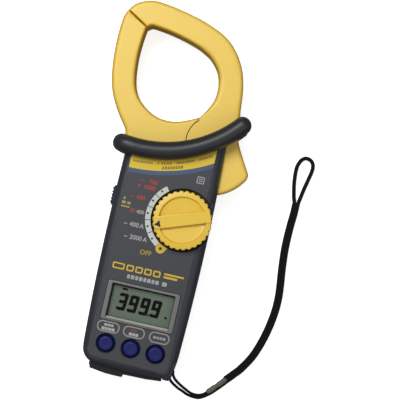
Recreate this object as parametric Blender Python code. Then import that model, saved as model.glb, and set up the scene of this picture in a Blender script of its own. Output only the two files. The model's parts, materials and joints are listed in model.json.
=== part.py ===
"""Clamp meter with an oval jaw opening, a side lever, a rotary dial and a wrist strap.

The meter lies on its back: X runs across the body, Y along it towards the jaws,
Z from the flat back face up to the front panel. Lengths are millimetres; "v" is
the distance along the body from its lower end and "h" the height over the back.
Seen from the front, with the jaws up, left is -X.
"""
import math
from collections import namedtuple

import bpy
from mathutils import Vector

for old_object in list(bpy.data.objects):
    bpy.data.objects.remove(old_object, do_unlink=True)

MM = 0.001
ORIGIN_V = 100.0      # the scene origin lies on the back face, this far from the lower end
SMOOTH_ANGLE = 34.0   # edges sharper than this many degrees are shaded hard

# ---- driving sizes -------------------------------------------------------
BODY_HALF_W = 33.8    # widest half width of the body
BODY_BARREL_V = 92.0  # where the body is widest
BODY_BARREL_R = 1700.0
BODY_H = 38.0         # back face to front panel
PARTING_H = 17.0
FRONT_SEAM_H = PARTING_H + 0.2
REAR_SEAM_H = PARTING_H - 0.1
WALL = 2.0
GAP = 0.3

GUARD_C = (-23.5, 230.8)   # centre of the arc that the hand guard follows
GUARD_R = 81.3
GUARD_T = 5.6              # half width of the guard tube
GUARD_RIGHT_X = 39.8
GUARD_LEFT_X = -36.3

JAW_H0, JAW_H1 = 8.5, 31.0
JAW_MID = (JAW_H0 + JAW_H1) / 2
PIVOT = (22.0, 162.5)
PIVOT_ORIGIN = (*PIVOT, JAW_MID)
HUB_R = 17.2
PIN_R = 3.0
PIN_BORE_R = PIN_R + 0.12

DIAL_C = (14.4, 108.1)
DIAL_WELL_R = 20.8

BUTTON_X = (-17.0, -0.2, 16.6)
BUTTON_V = 18.0
BUTTON_WELL_R = 6.5

LCD_X = 24.3
LCD_EDGE = (-LCD_X, LCD_X, 33.35, 59.75, 1.5)   # x from, x to, v from, v to, corner radius
COVER_EDGE = (-17.6, 17.6, 17.0, 84.0, 2.0)     # battery cover, in the same order
COVER_SCREW = (0.0, 80.5)

BOARD_LOW, BOARD_HIGH = 26.0, 27.6
FRONT_PARTS_H = BOARD_HIGH + GAP   # foot of the parts in front of the board
REAR_PARTS_H = BOARD_LOW - GAP     # foot of the parts behind it

SCREWS = ((-27.2, 27.0), (27.2, 27.0), (-26.8, 131.0), (26.6, 119.0))
SOCKET_X = (-18.6, -7.6, 11.5)
SOCKET_H = 19.0
STRAP_BAR = (29.0, 6.0)
STRAP_ORIGIN = (*STRAP_BAR, 19.0)


# ---- outlines and curves -------------------------------------------------
def arc(centre, radius, start, end, steps):
    """steps + 1 points on a circle between two angles in degrees."""
    points = []
    for i in range(steps + 1):
        angle = math.radians(start + (end - start) * i / steps)
        points.append((centre[0] + radius * math.cos(angle), centre[1] + radius * math.sin(angle)))
    return points


def spline(points, steps):
    """Catmull-Rom curve through the points, with so many steps for each span."""
    def beyond(end, neighbour):
        return tuple(2 * a - b for a, b in zip(end, neighbour))

    padded = [beyond(points[0], points[1]), *points, beyond(points[-1], points[-2])]
    curve = []
    for span in zip(padded, padded[1:], padded[2:], padded[3:]):
        for j in range(steps):
            t = j / steps
            curve.append(tuple(
                0.5 * (2 * b + (c - a) * t + (2 * a - 5 * b + 4 * c - d) * t * t
                       + (3 * b - a - 3 * c + d) * t ** 3)
                for a, b, c, d in zip(*span)))
    curve.append(tuple(points[-1]))
    return curve


def mirrored(points):
    """The points mirrored across the middle plane, in reverse order."""
    return [(-x, v) for x, v in reversed(points)]


def rect(x0, x1, v0, v1, radius=0.0, grow=0.0):
    """An anticlockwise rectangle, sharp or rounded. A rounded one can grow about its corners."""
    if not radius:
        return [(x0, v0), (x1, v0), (x1, v1), (x0, v1)]
    left, right, low, high = x0 + radius, x1 - radius, v0 + radius, v1 - radius
    corners = ((right, low), (right, high), (left, high), (left, low))
    points = []
    for i, centre in enumerate(corners):
        points += arc(centre, radius + grow, 90 * i - 90, 90 * i, 3)
    return points


def weighted(*runs):
    """Joins (points, weight) runs into one outline of (x, v, inset weight of the next edge)."""
    return [(point[0], point[1], weight) for points, weight in runs for point in points]


def inset(outline, depth):
    """A weighted anticlockwise outline moved inwards by depth times each edge's weight."""
    def edge_normal(start, end):
        return Vector((-(end[1] - start[1]), end[0] - start[0])).normalized()

    moved = []
    for i, corner in enumerate(outline):
        before, after = outline[i - 1], outline[(i + 1) % len(outline)]
        normal_a, normal_b = edge_normal(before, corner), edge_normal(corner, after)
        shift_a, shift_b = depth * before[2], depth * corner[2]
        det = normal_a.x * normal_b.y - normal_a.y * normal_b.x
        if abs(det) < 0.25:  # nearly straight, so the edges have no steady crossing
            mean = (normal_a + normal_b).normalized()
            shift = (shift_a + shift_b) / 2 / max(mean.dot(normal_a), 0.5)
            moved.append((corner[0] + mean.x * shift, corner[1] + mean.y * shift))
        else:
            moved.append((corner[0] + (shift_a * normal_b.y - shift_b * normal_a.y) / det,
                          corner[1] + (normal_a.x * shift_b - normal_b.x * shift_a) / det))
    return moved


def both_sides(line, half):
    """Two lines, at the distance half to the left and to the right of a line."""
    left, right = [], []
    for i, (x, v) in enumerate(line):
        before, after = line[max(i - 1, 0)], line[min(i + 1, len(line) - 1)]
        along = Vector((after[0] - before[0], after[1] - before[1])).normalized()
        left.append((x - along.y * half, v + along.x * half))
        right.append((x + along.y * half, v - along.x * half))
    return left, right


def band(line, half):
    """The anticlockwise outline of a band of constant width along a line."""
    left, right = both_sides(line, half)
    return right + left[::-1]


# ---- solids, each a pair of vertices and faces ---------------------------
def ring(outline, h):
    return [(point[0], point[1], h) for point in outline]


def bridge(first, second, count, inward=False):
    """Quads between two rings whose vertices start at first and second."""
    faces = []
    for i in range(count):
        j = (i + 1) % count
        if inward:
            i, j = j, i
        faces.append((first + i, first + j, second + j, second + i))
    return faces


def walls(ring_count, count, start=0, inward=False):
    faces = []
    for k in range(ring_count - 1):
        base = start + k * count
        faces += bridge(base, base + count, count, inward)
    return faces


def loft(rings):
    """A closed solid through rings of equal length, bottom to top."""
    count = len(rings[0])
    top = (len(rings) - 1) * count
    faces = walls(len(rings), count)
    faces.append(tuple(range(count))[::-1])
    faces.append(tuple(range(top, top + count)))
    return [point for row in rings for point in row], faces


def two_walls(outer, inner):
    """Vertices and faces of an outer and an inner wall, not yet joined."""
    count = len(outer[0])
    faces = walls(len(outer), count) + walls(len(inner), count, len(outer) * count, inward=True)
    return [point for row in outer + inner for point in row], faces


def cup(outer, inner):
    """A cup. Outer and inner rings both run from the open end to the closed end."""
    count = len(outer[0])
    inner_start = len(outer) * count
    verts, faces = two_walls(outer, inner)
    faces.append(tuple(range(inner_start - count, inner_start)))
    faces.append(tuple(range(len(verts) - count, len(verts)))[::-1])
    faces += bridge(0, inner_start, count, inward=True)
    opens_upwards = outer[-1][0][2] < outer[0][0][2]
    return flip((verts, faces)) if opens_upwards else (verts, faces)


def frame(outer, inner):
    """A closed frame between outer and inner rings, both bottom to top."""
    count = len(outer[0])
    inner_start = len(outer) * count
    verts, faces = two_walls(outer, inner)
    faces += bridge(0, inner_start, count, inward=True)
    faces += bridge(inner_start - count, len(verts) - count, count)
    return verts, faces


def flip(mesh):
    return mesh[0], [tuple(reversed(face)) for face in mesh[1]]


def prism(outline, low, high):
    return loft([ring(outline, low), ring(outline, high)])


def block(x0, x1, v0, v1, low, high, radius=0.0):
    return prism(rect(x0, x1, v0, v1, radius), low, high)


def turned(profile, sides, closed=False):
    """A solid of revolution about h. Its (radius, h) profile runs up the outside."""
    verts, rows, faces = [], [], []
    for radius, h in profile:
        if radius < 1e-6:
            rows.append([len(verts)] * sides)
            verts.append((0.0, 0.0, h))
            continue
        rows.append(list(range(len(verts), len(verts) + sides)))
        for i in range(sides):
            angle = 2 * math.pi * i / sides
            verts.append((radius * math.cos(angle), radius * math.sin(angle), h))
    pairs = list(zip(rows, rows[1:])) + ([(rows[-1], rows[0])] if closed else [])
    for lower, upper in pairs:
        for i in range(sides):
            j = (i + 1) % sides
            face = tuple(dict.fromkeys((lower[i], lower[j], upper[j], upper[i])))
            if len(face) > 2:
                faces.append(face)
    return verts, faces


def placed(mesh, x=0.0, v=0.0, h=0.0, axis="h", turn=0.0):
    """Turns a mesh about its own h axis, lays that along the named axis and moves it."""
    cos, sin = math.cos(math.radians(turn)), math.sin(math.radians(turn))
    moved = []
    for px, pv, ph in mesh[0]:
        px, pv = px * cos - pv * sin, px * sin + pv * cos
        if axis == "v":
            pv, ph = ph, -pv
        elif axis == "x":
            px, pv, ph = ph, px, pv
        moved.append((px + x, pv + v, ph + h))
    return moved, mesh[1]


def rod(radius, low, high, sides=20):
    return turned([(0, low), (radius, low), (radius, high), (0, high)], sides)


def rod_at(place, radius, low, high, sides):
    return placed(rod(radius, low, high, sides), *place)


def sleeve(r_in, r_out, low, high, sides):
    profile = [(r_out, low), (r_out, high), (r_in, high), (r_in, low)]
    return turned(profile, sides, closed=True)


def sweep(path, normals, half_widths, sides):
    """A tube along a path. Each section has a normal and half widths along and across it."""
    rings = []
    for i, point in enumerate(path):
        centre = Vector(point)
        before, after = Vector(path[max(i - 1, 0)]), Vector(path[min(i + 1, len(path) - 1)])
        along = (after - before).normalized()
        normal = Vector(normals[i])
        normal = (normal - along * normal.dot(along)).normalized()
        across = along.cross(normal)
        half_n, half_a = half_widths[i]
        section = []
        for k in range(sides):
            angle = 2 * math.pi * k / sides
            section.append(tuple(centre + normal * (half_n * math.cos(angle))
                                 + across * (half_a * math.sin(angle))))
        rings.append(section)
    return loft(rings)


def cord(path, half_h, half_across, sides):
    """A tube of constant section along a path, with its section's normal towards h."""
    count = len(path)
    return sweep(path, [(0, 0, 1)] * count, [(half_h, half_across)] * count, sides)


def rounded_end(path, normals, half_widths, steps=3):
    """Extends a swept path by a dome at its last point."""
    end = Vector(path[-1])
    along = (end - Vector(path[-2])).normalized()
    half_n, half_a = half_widths[-1]
    depth = min(half_n, half_a)
    path, normals, half_widths = list(path), list(normals), list(half_widths)
    for k in range(1, steps + 1):
        angle = math.radians(86 * k / steps)
        path.append(tuple(end + along * (depth * math.sin(angle))))
        normals.append(normals[-1])
        half_widths.append((half_n * math.cos(angle), half_a * math.cos(angle)))
    return path, normals, half_widths


def coil(radius, wire_r, low, high, turns, per_turn=10, end_radius=None):
    """A helical spring about the h axis, of a five-sided wire."""
    count = int(turns * per_turn)
    end_radius = radius if end_radius is None else end_radius
    path, normals = [], []
    for i in range(count + 1):
        angle = 2 * math.pi * i / per_turn
        r = radius + (end_radius - radius) * i / count
        h = low + wire_r + (high - low - 2 * wire_r) * i / count
        path.append((r * math.cos(angle), r * math.sin(angle), h))
        normals.append((math.cos(angle), math.sin(angle), 0.0))
    return sweep(path, normals, [(wire_r, wire_r)] * len(path), 5)


def mesh_object(name, verts, faces):
    data = bpy.data.meshes.new(name)
    data.from_pydata(verts, [], faces)
    obj = bpy.data.objects.new(name, data)
    bpy.context.scene.collection.objects.link(obj)
    return obj


def carve(base, *steps):
    """Adds ("+") meshes to base and cuts ("-") meshes from it, in order."""
    obj = mesh_object("temp", *base)
    tools = []
    for sign, mesh in steps:
        tool = mesh_object("temp", *mesh)
        tools.append(tool)
        mod = obj.modifiers.new("step", "BOOLEAN")
        mod.object = tool
        mod.solver = "EXACT"
        mod.operation = "UNION" if sign == "+" else "DIFFERENCE"
    bpy.context.view_layer.update()
    done = obj.evaluated_get(bpy.context.evaluated_depsgraph_get())
    data = done.to_mesh()
    made = ([tuple(v.co) for v in data.vertices], [tuple(p.vertices) for p in data.polygons])
    done.to_mesh_clear()
    for used in [obj] + tools:
        used_mesh = used.data
        bpy.data.objects.remove(used, do_unlink=True)
        bpy.data.meshes.remove(used_mesh)
    return made


# ---- materials -----------------------------------------------------------
Finish = namedtuple("Finish", "rgb roughness metallic alpha", defaults=(0.0, 1.0))

FINISHES = {
    "jaw_yellow": Finish((0.80, 0.56, 0.12), roughness=0.45),
    "knob_yellow": Finish((0.76, 0.50, 0.08), roughness=0.40),
    "case_dark": Finish((0.030, 0.033, 0.038), roughness=0.50),
    "panel_grey": Finish((0.075, 0.077, 0.085), roughness=0.55),
    "frame_grey": Finish((0.19, 0.18, 0.175), roughness=0.50),
    "button_blue": Finish((0.022, 0.022, 0.14), roughness=0.40),
    "clear_window": Finish((0.55, 0.62, 0.55), roughness=0.08, alpha=0.35),
    "lcd_green": Finish((0.17, 0.21, 0.17), roughness=0.25),
    "white_plastic": Finish((0.60, 0.60, 0.57), roughness=0.50),
    "black_plastic": Finish((0.012, 0.012, 0.013), roughness=0.45),
    "rubber_strip": Finish((0.25, 0.10, 0.10), roughness=0.80),
    "board_green": Finish((0.02, 0.12, 0.05), roughness=0.50),
    "steel": Finish((0.55, 0.55, 0.56), roughness=0.30, metallic=1.0),
    "brass": Finish((0.65, 0.45, 0.16), roughness=0.30, metallic=1.0),
    "core_steel": Finish((0.25, 0.25, 0.27), roughness=0.45, metallic=1.0),
    "cell_wrap": Finish((0.03, 0.06, 0.12), roughness=0.35, metallic=0.2),
    "cord_black": Finish((0.010, 0.009, 0.010), roughness=0.80),
    "sleeve_grey": Finish((0.12, 0.115, 0.105), roughness=0.60),
}


def material(name, finish):
    made = bpy.data.materials.new(name)
    made.use_nodes = True
    inputs = made.node_tree.nodes["Principled BSDF"].inputs
    inputs["Base Color"].default_value = (*finish.rgb, 1.0)
    inputs["Roughness"].default_value = finish.roughness
    inputs["Metallic"].default_value = finish.metallic
    inputs["Alpha"].default_value = finish.alpha
    made.diffuse_color = (*finish.rgb, finish.alpha)
    made.roughness = finish.roughness
    made.metallic = finish.metallic
    return made


def add_piece(name, mesh, finish, origin=(0.0, ORIGIN_V, 0.0)):
    """Makes one object with its own material. Its origin sits at the (x, v, h) point."""
    ox, ov, oh = origin
    verts = [((x - ox) * MM, (v - ov) * MM, (h - oh) * MM) for x, v, h in mesh[0]]
    obj = mesh_object(name, verts, mesh[1])
    data = obj.data
    data.validate()
    data.polygons.foreach_set("use_smooth", [True] * len(data.polygons))
    data.set_sharp_from_angle(angle=math.radians(SMOOTH_ANGLE))
    data.materials.append(material(name + "_finish", FINISHES[finish]))
    obj.location = (ox * MM, (ov - ORIGIN_V) * MM, oh * MM)


# ---- body outline --------------------------------------------------------
LOWER_END_RIGHT = [(12.0, 2.0), (23.6, 3.2), (27.0, 4.4), (29.6, 6.8), (31.4, 10.6)]  # x, v
SIDE_V = (24.0, 52.0, 80.0, 104.0, 128.0)
UPPER_RIGHT_V, UPPER_LEFT_V = 171.0, 150.0   # where the width at the upper corners is taken
UPPER_STEPS = 9


def half_width(v):
    return BODY_HALF_W - (v - BODY_BARREL_V) ** 2 / (2 * BODY_BARREL_R)


def guard_v(x, radius=GUARD_R):
    """Where the guard's arc, or one about the same centre, passes x."""
    return GUARD_C[1] - math.sqrt(radius * radius - (x - GUARD_C[0]) ** 2)


def body_outline():
    right_side = [(half_width(v), v) for v in SIDE_V]
    right, left = half_width(UPPER_RIGHT_V), -half_width(UPPER_LEFT_V)
    upper_x = [right + (left - right) * i / UPPER_STEPS for i in range(UPPER_STEPS + 1)]
    points = mirrored(LOWER_END_RIGHT) + [(0.0, 1.6)] + LOWER_END_RIGHT + right_side
    points += [(x, guard_v(x)) for x in upper_x] + mirrored(right_side)
    return weighted((points, 1.0))


BODY = body_outline()


def body_rings(stations):
    """Rings of the body outline from (inset, h) stations."""
    return [ring(inset(BODY, depth), h) for depth, h in stations]


# ---- hand guard ----------------------------------------------------------
# Stations round the bend: x, h, share of the way from the side's to the run's half width.
FRONT_BEND = ((GUARD_LEFT_X, 30.0, 0.0), (-36.2, 35.0, 0.25), (-35.0, 38.6, 0.65),
              (-32.0, 40.3, 0.9))
REAR_BEND = ((GUARD_LEFT_X, 10.5, 0.0), (-36.1, 7.6, 0.25), (-34.8, 5.2, 0.65),
             (-32.2, 4.5, 0.9))
RUN_START_X = -28.0
RUN_STEPS = 10


def guard_tube(seam_h, bend, run_h, run_half):
    """Half of the guard: a left side run, a bend and the run across that follows the arc."""
    path = [(GUARD_LEFT_X, guard_v(GUARD_LEFT_X), seam_h)]
    half_widths = [(GUARD_T, GUARD_T)]
    for x, h, share in bend:
        path.append((x, guard_v(x), h))
        half_widths.append((GUARD_T, GUARD_T + (run_half - GUARD_T) * share))
    for i in range(RUN_STEPS + 1):
        x = RUN_START_X + (GUARD_RIGHT_X - RUN_START_X) * i / RUN_STEPS
        path.append((x, guard_v(x), run_h))
        half_widths.append((GUARD_T, run_half))
    normals = [(GUARD_C[0] - x, GUARD_C[1] - v, 0.0) for x, v, _ in path]
    return sweep(*rounded_end(path, normals, half_widths), 12)


# ---- both halves of the case ---------------------------------------------
# Room for the jaws and for the lever's swing: x, v.
JAW_ROOM = [(-30.3, 141.0), (6.0, 141.0), (8.0, 126.9), (60.0, 126.9), (60.0, 200.0),
            (-60.0, 200.0), (-60.0, 155.5), (-30.3, 155.5)]
# Solid filling of the lower right corner, and the notch in it for the strap: x, v.
CORNER = [(24.9, 4.6), (27.2, 5.6), (28.6, 7.4), (30.2, 10.8), (30.6, 14.0), (24.9, 14.0)]
STRAP_NOTCH = rect(25.5, 38.0, -2.0, 10.3)
DIAL_WALL_R = 22.6
DIAL_WALL_MAX_X = 32.2

# Stations from the seam to the closed face: inset, h.
FRONT_OUTSIDE = ((0.25, FRONT_SEAM_H), (0.0, 21.0), (0.35, 30.0), (1.3, 34.4), (3.0, 36.9),
                 (5.6, BODY_H))
FRONT_INSIDE = ((WALL + 0.25, FRONT_SEAM_H), (WALL + 0.5, 31.0), (WALL + 3.6, BODY_H - WALL))
REAR_OUTSIDE = ((0.0, REAR_SEAM_H), (0.4, 8.0), (1.4, 3.2), (3.0, 0.9), (5.0, 0.0))
REAR_INSIDE = ((WALL, REAR_SEAM_H), (WALL + 0.5, 8.0), (WALL + 3.0, WALL))


def lcd_opening():
    return prism(rect(*LCD_EDGE, grow=GAP), 30.0, 50.0)


def shared_cuts(jaw_room_low, pin_low, pin_high):
    """Cuts for the jaws, terminals, strap, strap bar and jaw pin."""
    return [("-", prism(JAW_ROOM, jaw_room_low, 31.5)),
            ("-", block(-25.9, 24.6, -10.0, 9.0, 7.2, 30.8)),
            ("-", prism(STRAP_NOTCH, 13.8, 24.2)),
            ("-", rod_at(STRAP_BAR, 1.4, 12.0, 26.2, 12)),
            ("-", rod_at(PIVOT, PIN_BORE_R, pin_low, pin_high, 24))]


def build_front_case():
    dial_wall = [(min(x, DIAL_WALL_MAX_X), v) for x, v in arc(DIAL_C, DIAL_WALL_R, 0, 352.5, 47)]
    post_tops = (36.5, 36.5, 36.5, 32.0)   # the last post stands behind the dial
    steps = [("+", guard_tube(FRONT_SEAM_H, FRONT_BEND, run_h=40.5, run_half=8.2)),
             ("+", prism(dial_wall, 31.4, 36.6)),
             ("+", prism(CORNER, FRONT_SEAM_H, 36.4))]
    steps += [("+", rod_at(place, 3.4, FRONT_SEAM_H, top, 16))
              for place, top in zip(SCREWS, post_tops)]
    steps += [("-", rod_at(place, 1.5, PARTING_H - 1, 29.5, 12)) for place in SCREWS]
    steps.append(("-", rod_at(DIAL_C, DIAL_WELL_R, 33.0, 60.0, 60)))
    steps.append(("-", rod_at(DIAL_C, 4.1, 20.0, 40.0, 20)))   # dial shaft
    steps += [("-", rod_at((x, BUTTON_V), BUTTON_WELL_R, 30.0, 50.0, 28)) for x in BUTTON_X]
    steps.append(("-", lcd_opening()))
    steps.append(("-", block(-50.0, -28.0, 107.0, 121.7, 19.7, 29.3)))   # hold button
    steps += shared_cuts(jaw_room_low=8.0, pin_low=30.0, pin_high=36.6)
    shell = cup(body_rings(FRONT_OUTSIDE), body_rings(FRONT_INSIDE))
    add_piece("front_case", carve(shell, *steps), "case_dark")


def build_rear_case():
    steps = [("+", guard_tube(REAR_SEAM_H, REAR_BEND, run_h=4.35, run_half=3.9)),
             ("+", prism(CORNER, 1.2, REAR_SEAM_H))]
    steps += [("+", rod_at(place, 4.2, 1.0, REAR_SEAM_H, 16)) for place in SCREWS]
    for place in SCREWS:
        steps.append(("-", rod_at(place, 3.1, -1.0, 3.2, 16)))   # head
        steps.append(("-", rod_at(place, 1.8, 2.0, 25.0, 12)))   # shank
    steps.append(("-", prism(rect(*COVER_EDGE, grow=GAP), -1.0, 4.0)))
    steps += shared_cuts(jaw_room_low=8.3, pin_low=1.4, pin_high=9.0)
    shell = cup(body_rings(REAR_OUTSIDE), body_rings(REAR_INSIDE))
    add_piece("rear_case", carve(shell, *steps), "case_dark")


# radius, h
CASE_SCREW = [(0, 0.9), (2.2, 0.6), (2.8, 1.2), (2.8, 2.6), (1.35, 2.9), (1.35, 27.0), (0, 28.0)]


def build_case_screws():
    for i, (x, v) in enumerate(SCREWS):
        slot = block(x - 2.0, x + 2.0, v - 0.35, v + 0.35, 0.0, 1.5)
        screw = carve(placed(turned(CASE_SCREW, 14), x, v), ("-", slot))
        add_piece("case_screw_%d" % (i + 1), screw, "steel")


# ---- printed panel -------------------------------------------------------
PANEL_HALF_W = 27.3
PANEL_LOWER_RIGHT = [(22.0, 8.0), (25.6, 9.2), (PANEL_HALF_W, 12.0)]   # x, v
PANEL_UPPER_X = (PANEL_HALF_W, 18.0, 9.0, 0.0, -9.0, -18.0, -PANEL_HALF_W)
PANEL_LOW, PANEL_HIGH = BODY_H + 0.12, BODY_H + 0.45
PANEL_GUARD_GAP = 0.6
PANEL_HOLE_GAP = 0.1


def build_panel():
    edge_r = GUARD_R + GUARD_T + PANEL_GUARD_GAP
    outline = mirrored(PANEL_LOWER_RIGHT) + PANEL_LOWER_RIGHT
    outline += [(x, guard_v(x, edge_r)) for x in PANEL_UPPER_X]
    steps = [("-", rod_at(DIAL_C, DIAL_WELL_R + PANEL_HOLE_GAP, 30, 50, 60)),
             ("-", lcd_opening())]
    steps += [("-", rod_at((x, BUTTON_V), BUTTON_WELL_R + PANEL_HOLE_GAP, 30, 50, 28))
              for x in BUTTON_X]
    panel = carve(prism(outline, PANEL_LOW, PANEL_HIGH), *steps)
    add_piece("panel_label", panel, "panel_grey")


# ---- display -------------------------------------------------------------
LCD_FRAME_LOW, LCD_FRAME_HIGH = 34.4, 38.9
LCD_CHAMFER = 0.4
LCD_HOLDER_HIGH = 31.9
CONNECTOR_V = ((34.8, 37.6), (56.2, 58.8))


def build_display():
    outer = rect(*LCD_EDGE)
    inner = rect(-21.1, 21.1, 35.7, 58.0, 0.5)
    frame_mesh = frame(
        [ring(outer, LCD_FRAME_LOW), ring(outer, LCD_FRAME_HIGH - LCD_CHAMFER),
         ring(rect(*LCD_EDGE, grow=-LCD_CHAMFER), LCD_FRAME_HIGH)],
        [ring(inner, LCD_FRAME_LOW), ring(inner, 35.8),
         ring(rect(-21.4, 21.4, 34.1, 58.2, 0.8), LCD_FRAME_HIGH)])
    add_piece("lcd_frame", frame_mesh, "frame_grey")
    add_piece("lcd_window", block(-20.8, 20.8, 36.0, 57.7, 34.6, 35.5, 0.4), "clear_window")
    add_piece("lcd_glass", block(-23.0, 23.0, 34.4, 59.0, 32.2, 34.2), "lcd_green")
    holder = block(-23.5, 23.5, 38.4, 55.4, FRONT_PARTS_H, LCD_HOLDER_HIGH, 1.0)
    add_piece("lcd_holder", holder, "white_plastic")
    for i, (v0, v1) in enumerate(CONNECTOR_V):
        strip = block(-21.0, 21.0, v0, v1, FRONT_PARTS_H, LCD_HOLDER_HIGH)
        add_piece("lcd_connector_%d" % (i + 1), strip, "rubber_strip")


# ---- buttons and switches ------------------------------------------------
BUTTON_R = 5.1
BUTTON_FLANGE_R = 5.9
# radius, h
BUTTON_CAP = [(0, 33.0), (BUTTON_FLANGE_R, 33.0), (BUTTON_FLANGE_R, 34.0), (BUTTON_R, 34.4),
              (BUTTON_R, 38.9), (4.85, 39.6), (4.2, 40.0), (3.0, 40.15), (0, 40.2)]
SWITCH_HALF = 3.0

# Hold button, with its ribbed outer face on the left: x, v.
HOLD_BUTTON = [(-29.5, 105.7), (-29.5, 123.0), (-30.8, 123.0), (-30.8, 121.3), (-33.9, 121.3),
               (-34.9, 120.2), (-35.3, 118.6), (-34.9, 117.0), (-35.5, 115.8), (-35.0, 114.4),
               (-35.5, 113.0), (-34.9, 111.8), (-35.3, 110.2), (-34.9, 108.6), (-33.9, 107.4),
               (-30.8, 107.4), (-30.8, 105.7)]
HOLD_ORIGIN = (-33.0, 114.4, 24.5)


def build_buttons():
    for i, x in enumerate(BUTTON_X):
        cap = placed(turned(BUTTON_CAP, 28), x, BUTTON_V)
        add_piece("button_%d" % (i + 1), cap, "button_blue", (x, BUTTON_V, BODY_H))
        base = block(x - SWITCH_HALF, x + SWITCH_HALF, BUTTON_V - SWITCH_HALF,
                     BUTTON_V + SWITCH_HALF, FRONT_PARTS_H, 30.6)
        plunger = rod_at((x, BUTTON_V), 1.7, 29.5, 31.6, 12)
        add_piece("switch_%d" % (i + 1), carve(base, ("+", plunger)), "black_plastic")


def build_hold_button():
    add_piece("hold_button", prism(HOLD_BUTTON, 20.1, 28.9), "black_plastic", HOLD_ORIGIN)
    add_piece("hold_switch", block(-28.4, -24.4, 111.2, 117.4, 21.9, 25.7), "white_plastic")


# ---- dial ----------------------------------------------------------------
# Knob shapes are drawn about the dial's axis, with the pointer towards +X.
DIAL_R = 19.8
DIAL_TOOTH_DEPTH = 0.8
DIAL_TEETH = 30
DIAL_REST = 200.8      # direction of the pointer at rest, degrees from +X
CREST_SHARE, ROOT_SHARE = -0.27, 0.62   # places of a tooth's two corners, in pitches
RECESS_R = 15.7
RECESS_FLOOR_H = 42.9
AXIS = (0.0, 0.0)

ROTOR_LOW, ROTOR_HIGH = 28.6, 30.8
ROTOR_MID = (ROTOR_LOW + ROTOR_HIGH) / 2
ROTOR_R = 11.5
ROTOR_NOTCH = 0.5
BALL_R = 1.2
BALL_OFFSET = 12.9     # from the dial's axis towards +X
DETENT_SPRING_X = 28.8


def toothed_rim():
    pitch = 360.0 / DIAL_TEETH
    points = []
    for i in range(DIAL_TEETH):
        for share, radius in ((CREST_SHARE, DIAL_R), (ROOT_SHARE, DIAL_R - DIAL_TOOTH_DEPTH)):
            angle = math.radians((i + share) * pitch)
            points.append((radius * math.cos(angle), radius * math.sin(angle)))
    return points


def chord_angle(offset, radius):
    """Degrees at which a circle lies the offset away from the X axis."""
    return math.degrees(math.asin(offset / radius))


def grip_outline(radius, pointer_end, far_end):
    """The bar across the dial. Each end has its half widths on the +Y and the -Y side."""
    pointer_plus, pointer_minus = [chord_angle(half, radius) for half in pointer_end]
    far_plus, far_minus = [chord_angle(half, radius) for half in far_end]
    return (arc(AXIS, radius, -pointer_minus, pointer_plus, 4)
            + arc(AXIS, radius, 180 - far_plus, 180 + far_minus, 4))


def recess_outline(pointer_half, far_half):
    """The finger recess on the bar's +Y side, from its offsets at both ends of the bar."""
    return arc(AXIS, RECESS_R, chord_angle(pointer_half, RECESS_R),
               180 - chord_angle(far_half, RECESS_R), 24)


def knob_mesh():
    rim = toothed_rim()
    shoulder = [(x * 0.975, y * 0.975) for x, y in rim]
    face = [(17.6 * x / math.hypot(x, y), 17.6 * y / math.hypot(x, y)) for x, y in rim]
    base = loft([ring(rim, 34.0), ring(rim, 43.9), ring(shoulder, 44.8), ring(face, 45.0)])
    grip = grip_outline(18.6, pointer_end=(3.15, 5.3), far_end=(4.05, 4.1))
    grip_top = grip_outline(18.2, pointer_end=(2.7, 4.8), far_end=(3.6, 3.6))
    handle = loft([ring(grip, 42.0), ring(grip, 45.1), ring(grip_top, 45.6)])
    recess_plus = recess_outline(3.2, 4.0)
    recess_minus = [(x, -y) for x, y in reversed(recess_outline(5.2, 4.2))]
    return carve(base, ("-", prism(recess_plus, RECESS_FLOOR_H, 50.0)),
                 ("-", prism(recess_minus, RECESS_FLOOR_H, 50.0)),
                 ("+", handle), ("+", rod(3.5, 28.4, 34.6)))


def rotor_mesh():
    """The disc behind the knob, notched at every fourth point and bored for the shaft."""
    outline = []
    for degrees in range(0, 360, 6):
        radius = ROTOR_R - (ROTOR_NOTCH if degrees % 24 == 0 else 0.0)
        angle = math.radians(degrees)
        outline.append((radius * math.cos(angle), radius * math.sin(angle)))
    return carve(prism(outline, ROTOR_LOW, ROTOR_HIGH), ("-", rod(3.62, 20, 40)))


def build_dial():
    add_piece("dial_knob", placed(knob_mesh(), *DIAL_C, turn=DIAL_REST), "knob_yellow",
              (*DIAL_C, BODY_H))
    add_piece("dial_rotor", placed(rotor_mesh(), *DIAL_C), "white_plastic",
              (*DIAL_C, ROTOR_MID))
    contact = prism(arc(AXIS, 9.0, 20, 160, 8) + arc(AXIS, 6.6, 160, 20, 8), 28.0, 28.3)
    add_piece("dial_contact", placed(contact, *DIAL_C, turn=130.0), "brass", (*DIAL_C, 28.1))


def build_detent():
    angles = [math.radians(a) for a in range(0, 181, 30)]
    ball = turned([(BALL_R * math.sin(a), -BALL_R * math.cos(a)) for a in angles], 12)
    add_piece("detent_ball", placed(ball, DIAL_C[0] + BALL_OFFSET, DIAL_C[1], ROTOR_MID), "steel")
    spring = coil(0.95, wire_r=0.16, low=0.0, high=2.3, turns=4, per_turn=8)
    add_piece("detent_spring", placed(spring, DETENT_SPRING_X, DIAL_C[1], ROTOR_MID, "x"), "steel")


# ---- circuit board -------------------------------------------------------
def build_board():
    steps = [("-", rod_at(place, 4.1, 20, 40, 16)) for place in SCREWS]
    board = block(-28.0, 28.6, 14.2, 126.0, BOARD_LOW, BOARD_HIGH, 1.5)
    add_piece("main_pcb", carve(board, *steps), "board_green")
    add_piece("main_chip", block(-7.0, 7.0, 86.0, 100.0, 24.0, REAR_PARTS_H), "black_plastic")
    add_piece("buzzer", rod_at((-15.0, 115.0), 8.0, 21.4, REAR_PARTS_H, 24), "black_plastic")


# ---- battery compartment -------------------------------------------------
CELL_X = 7.6           # the two cells lie this far left and right of the middle
CELL_H = 10.2
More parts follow.
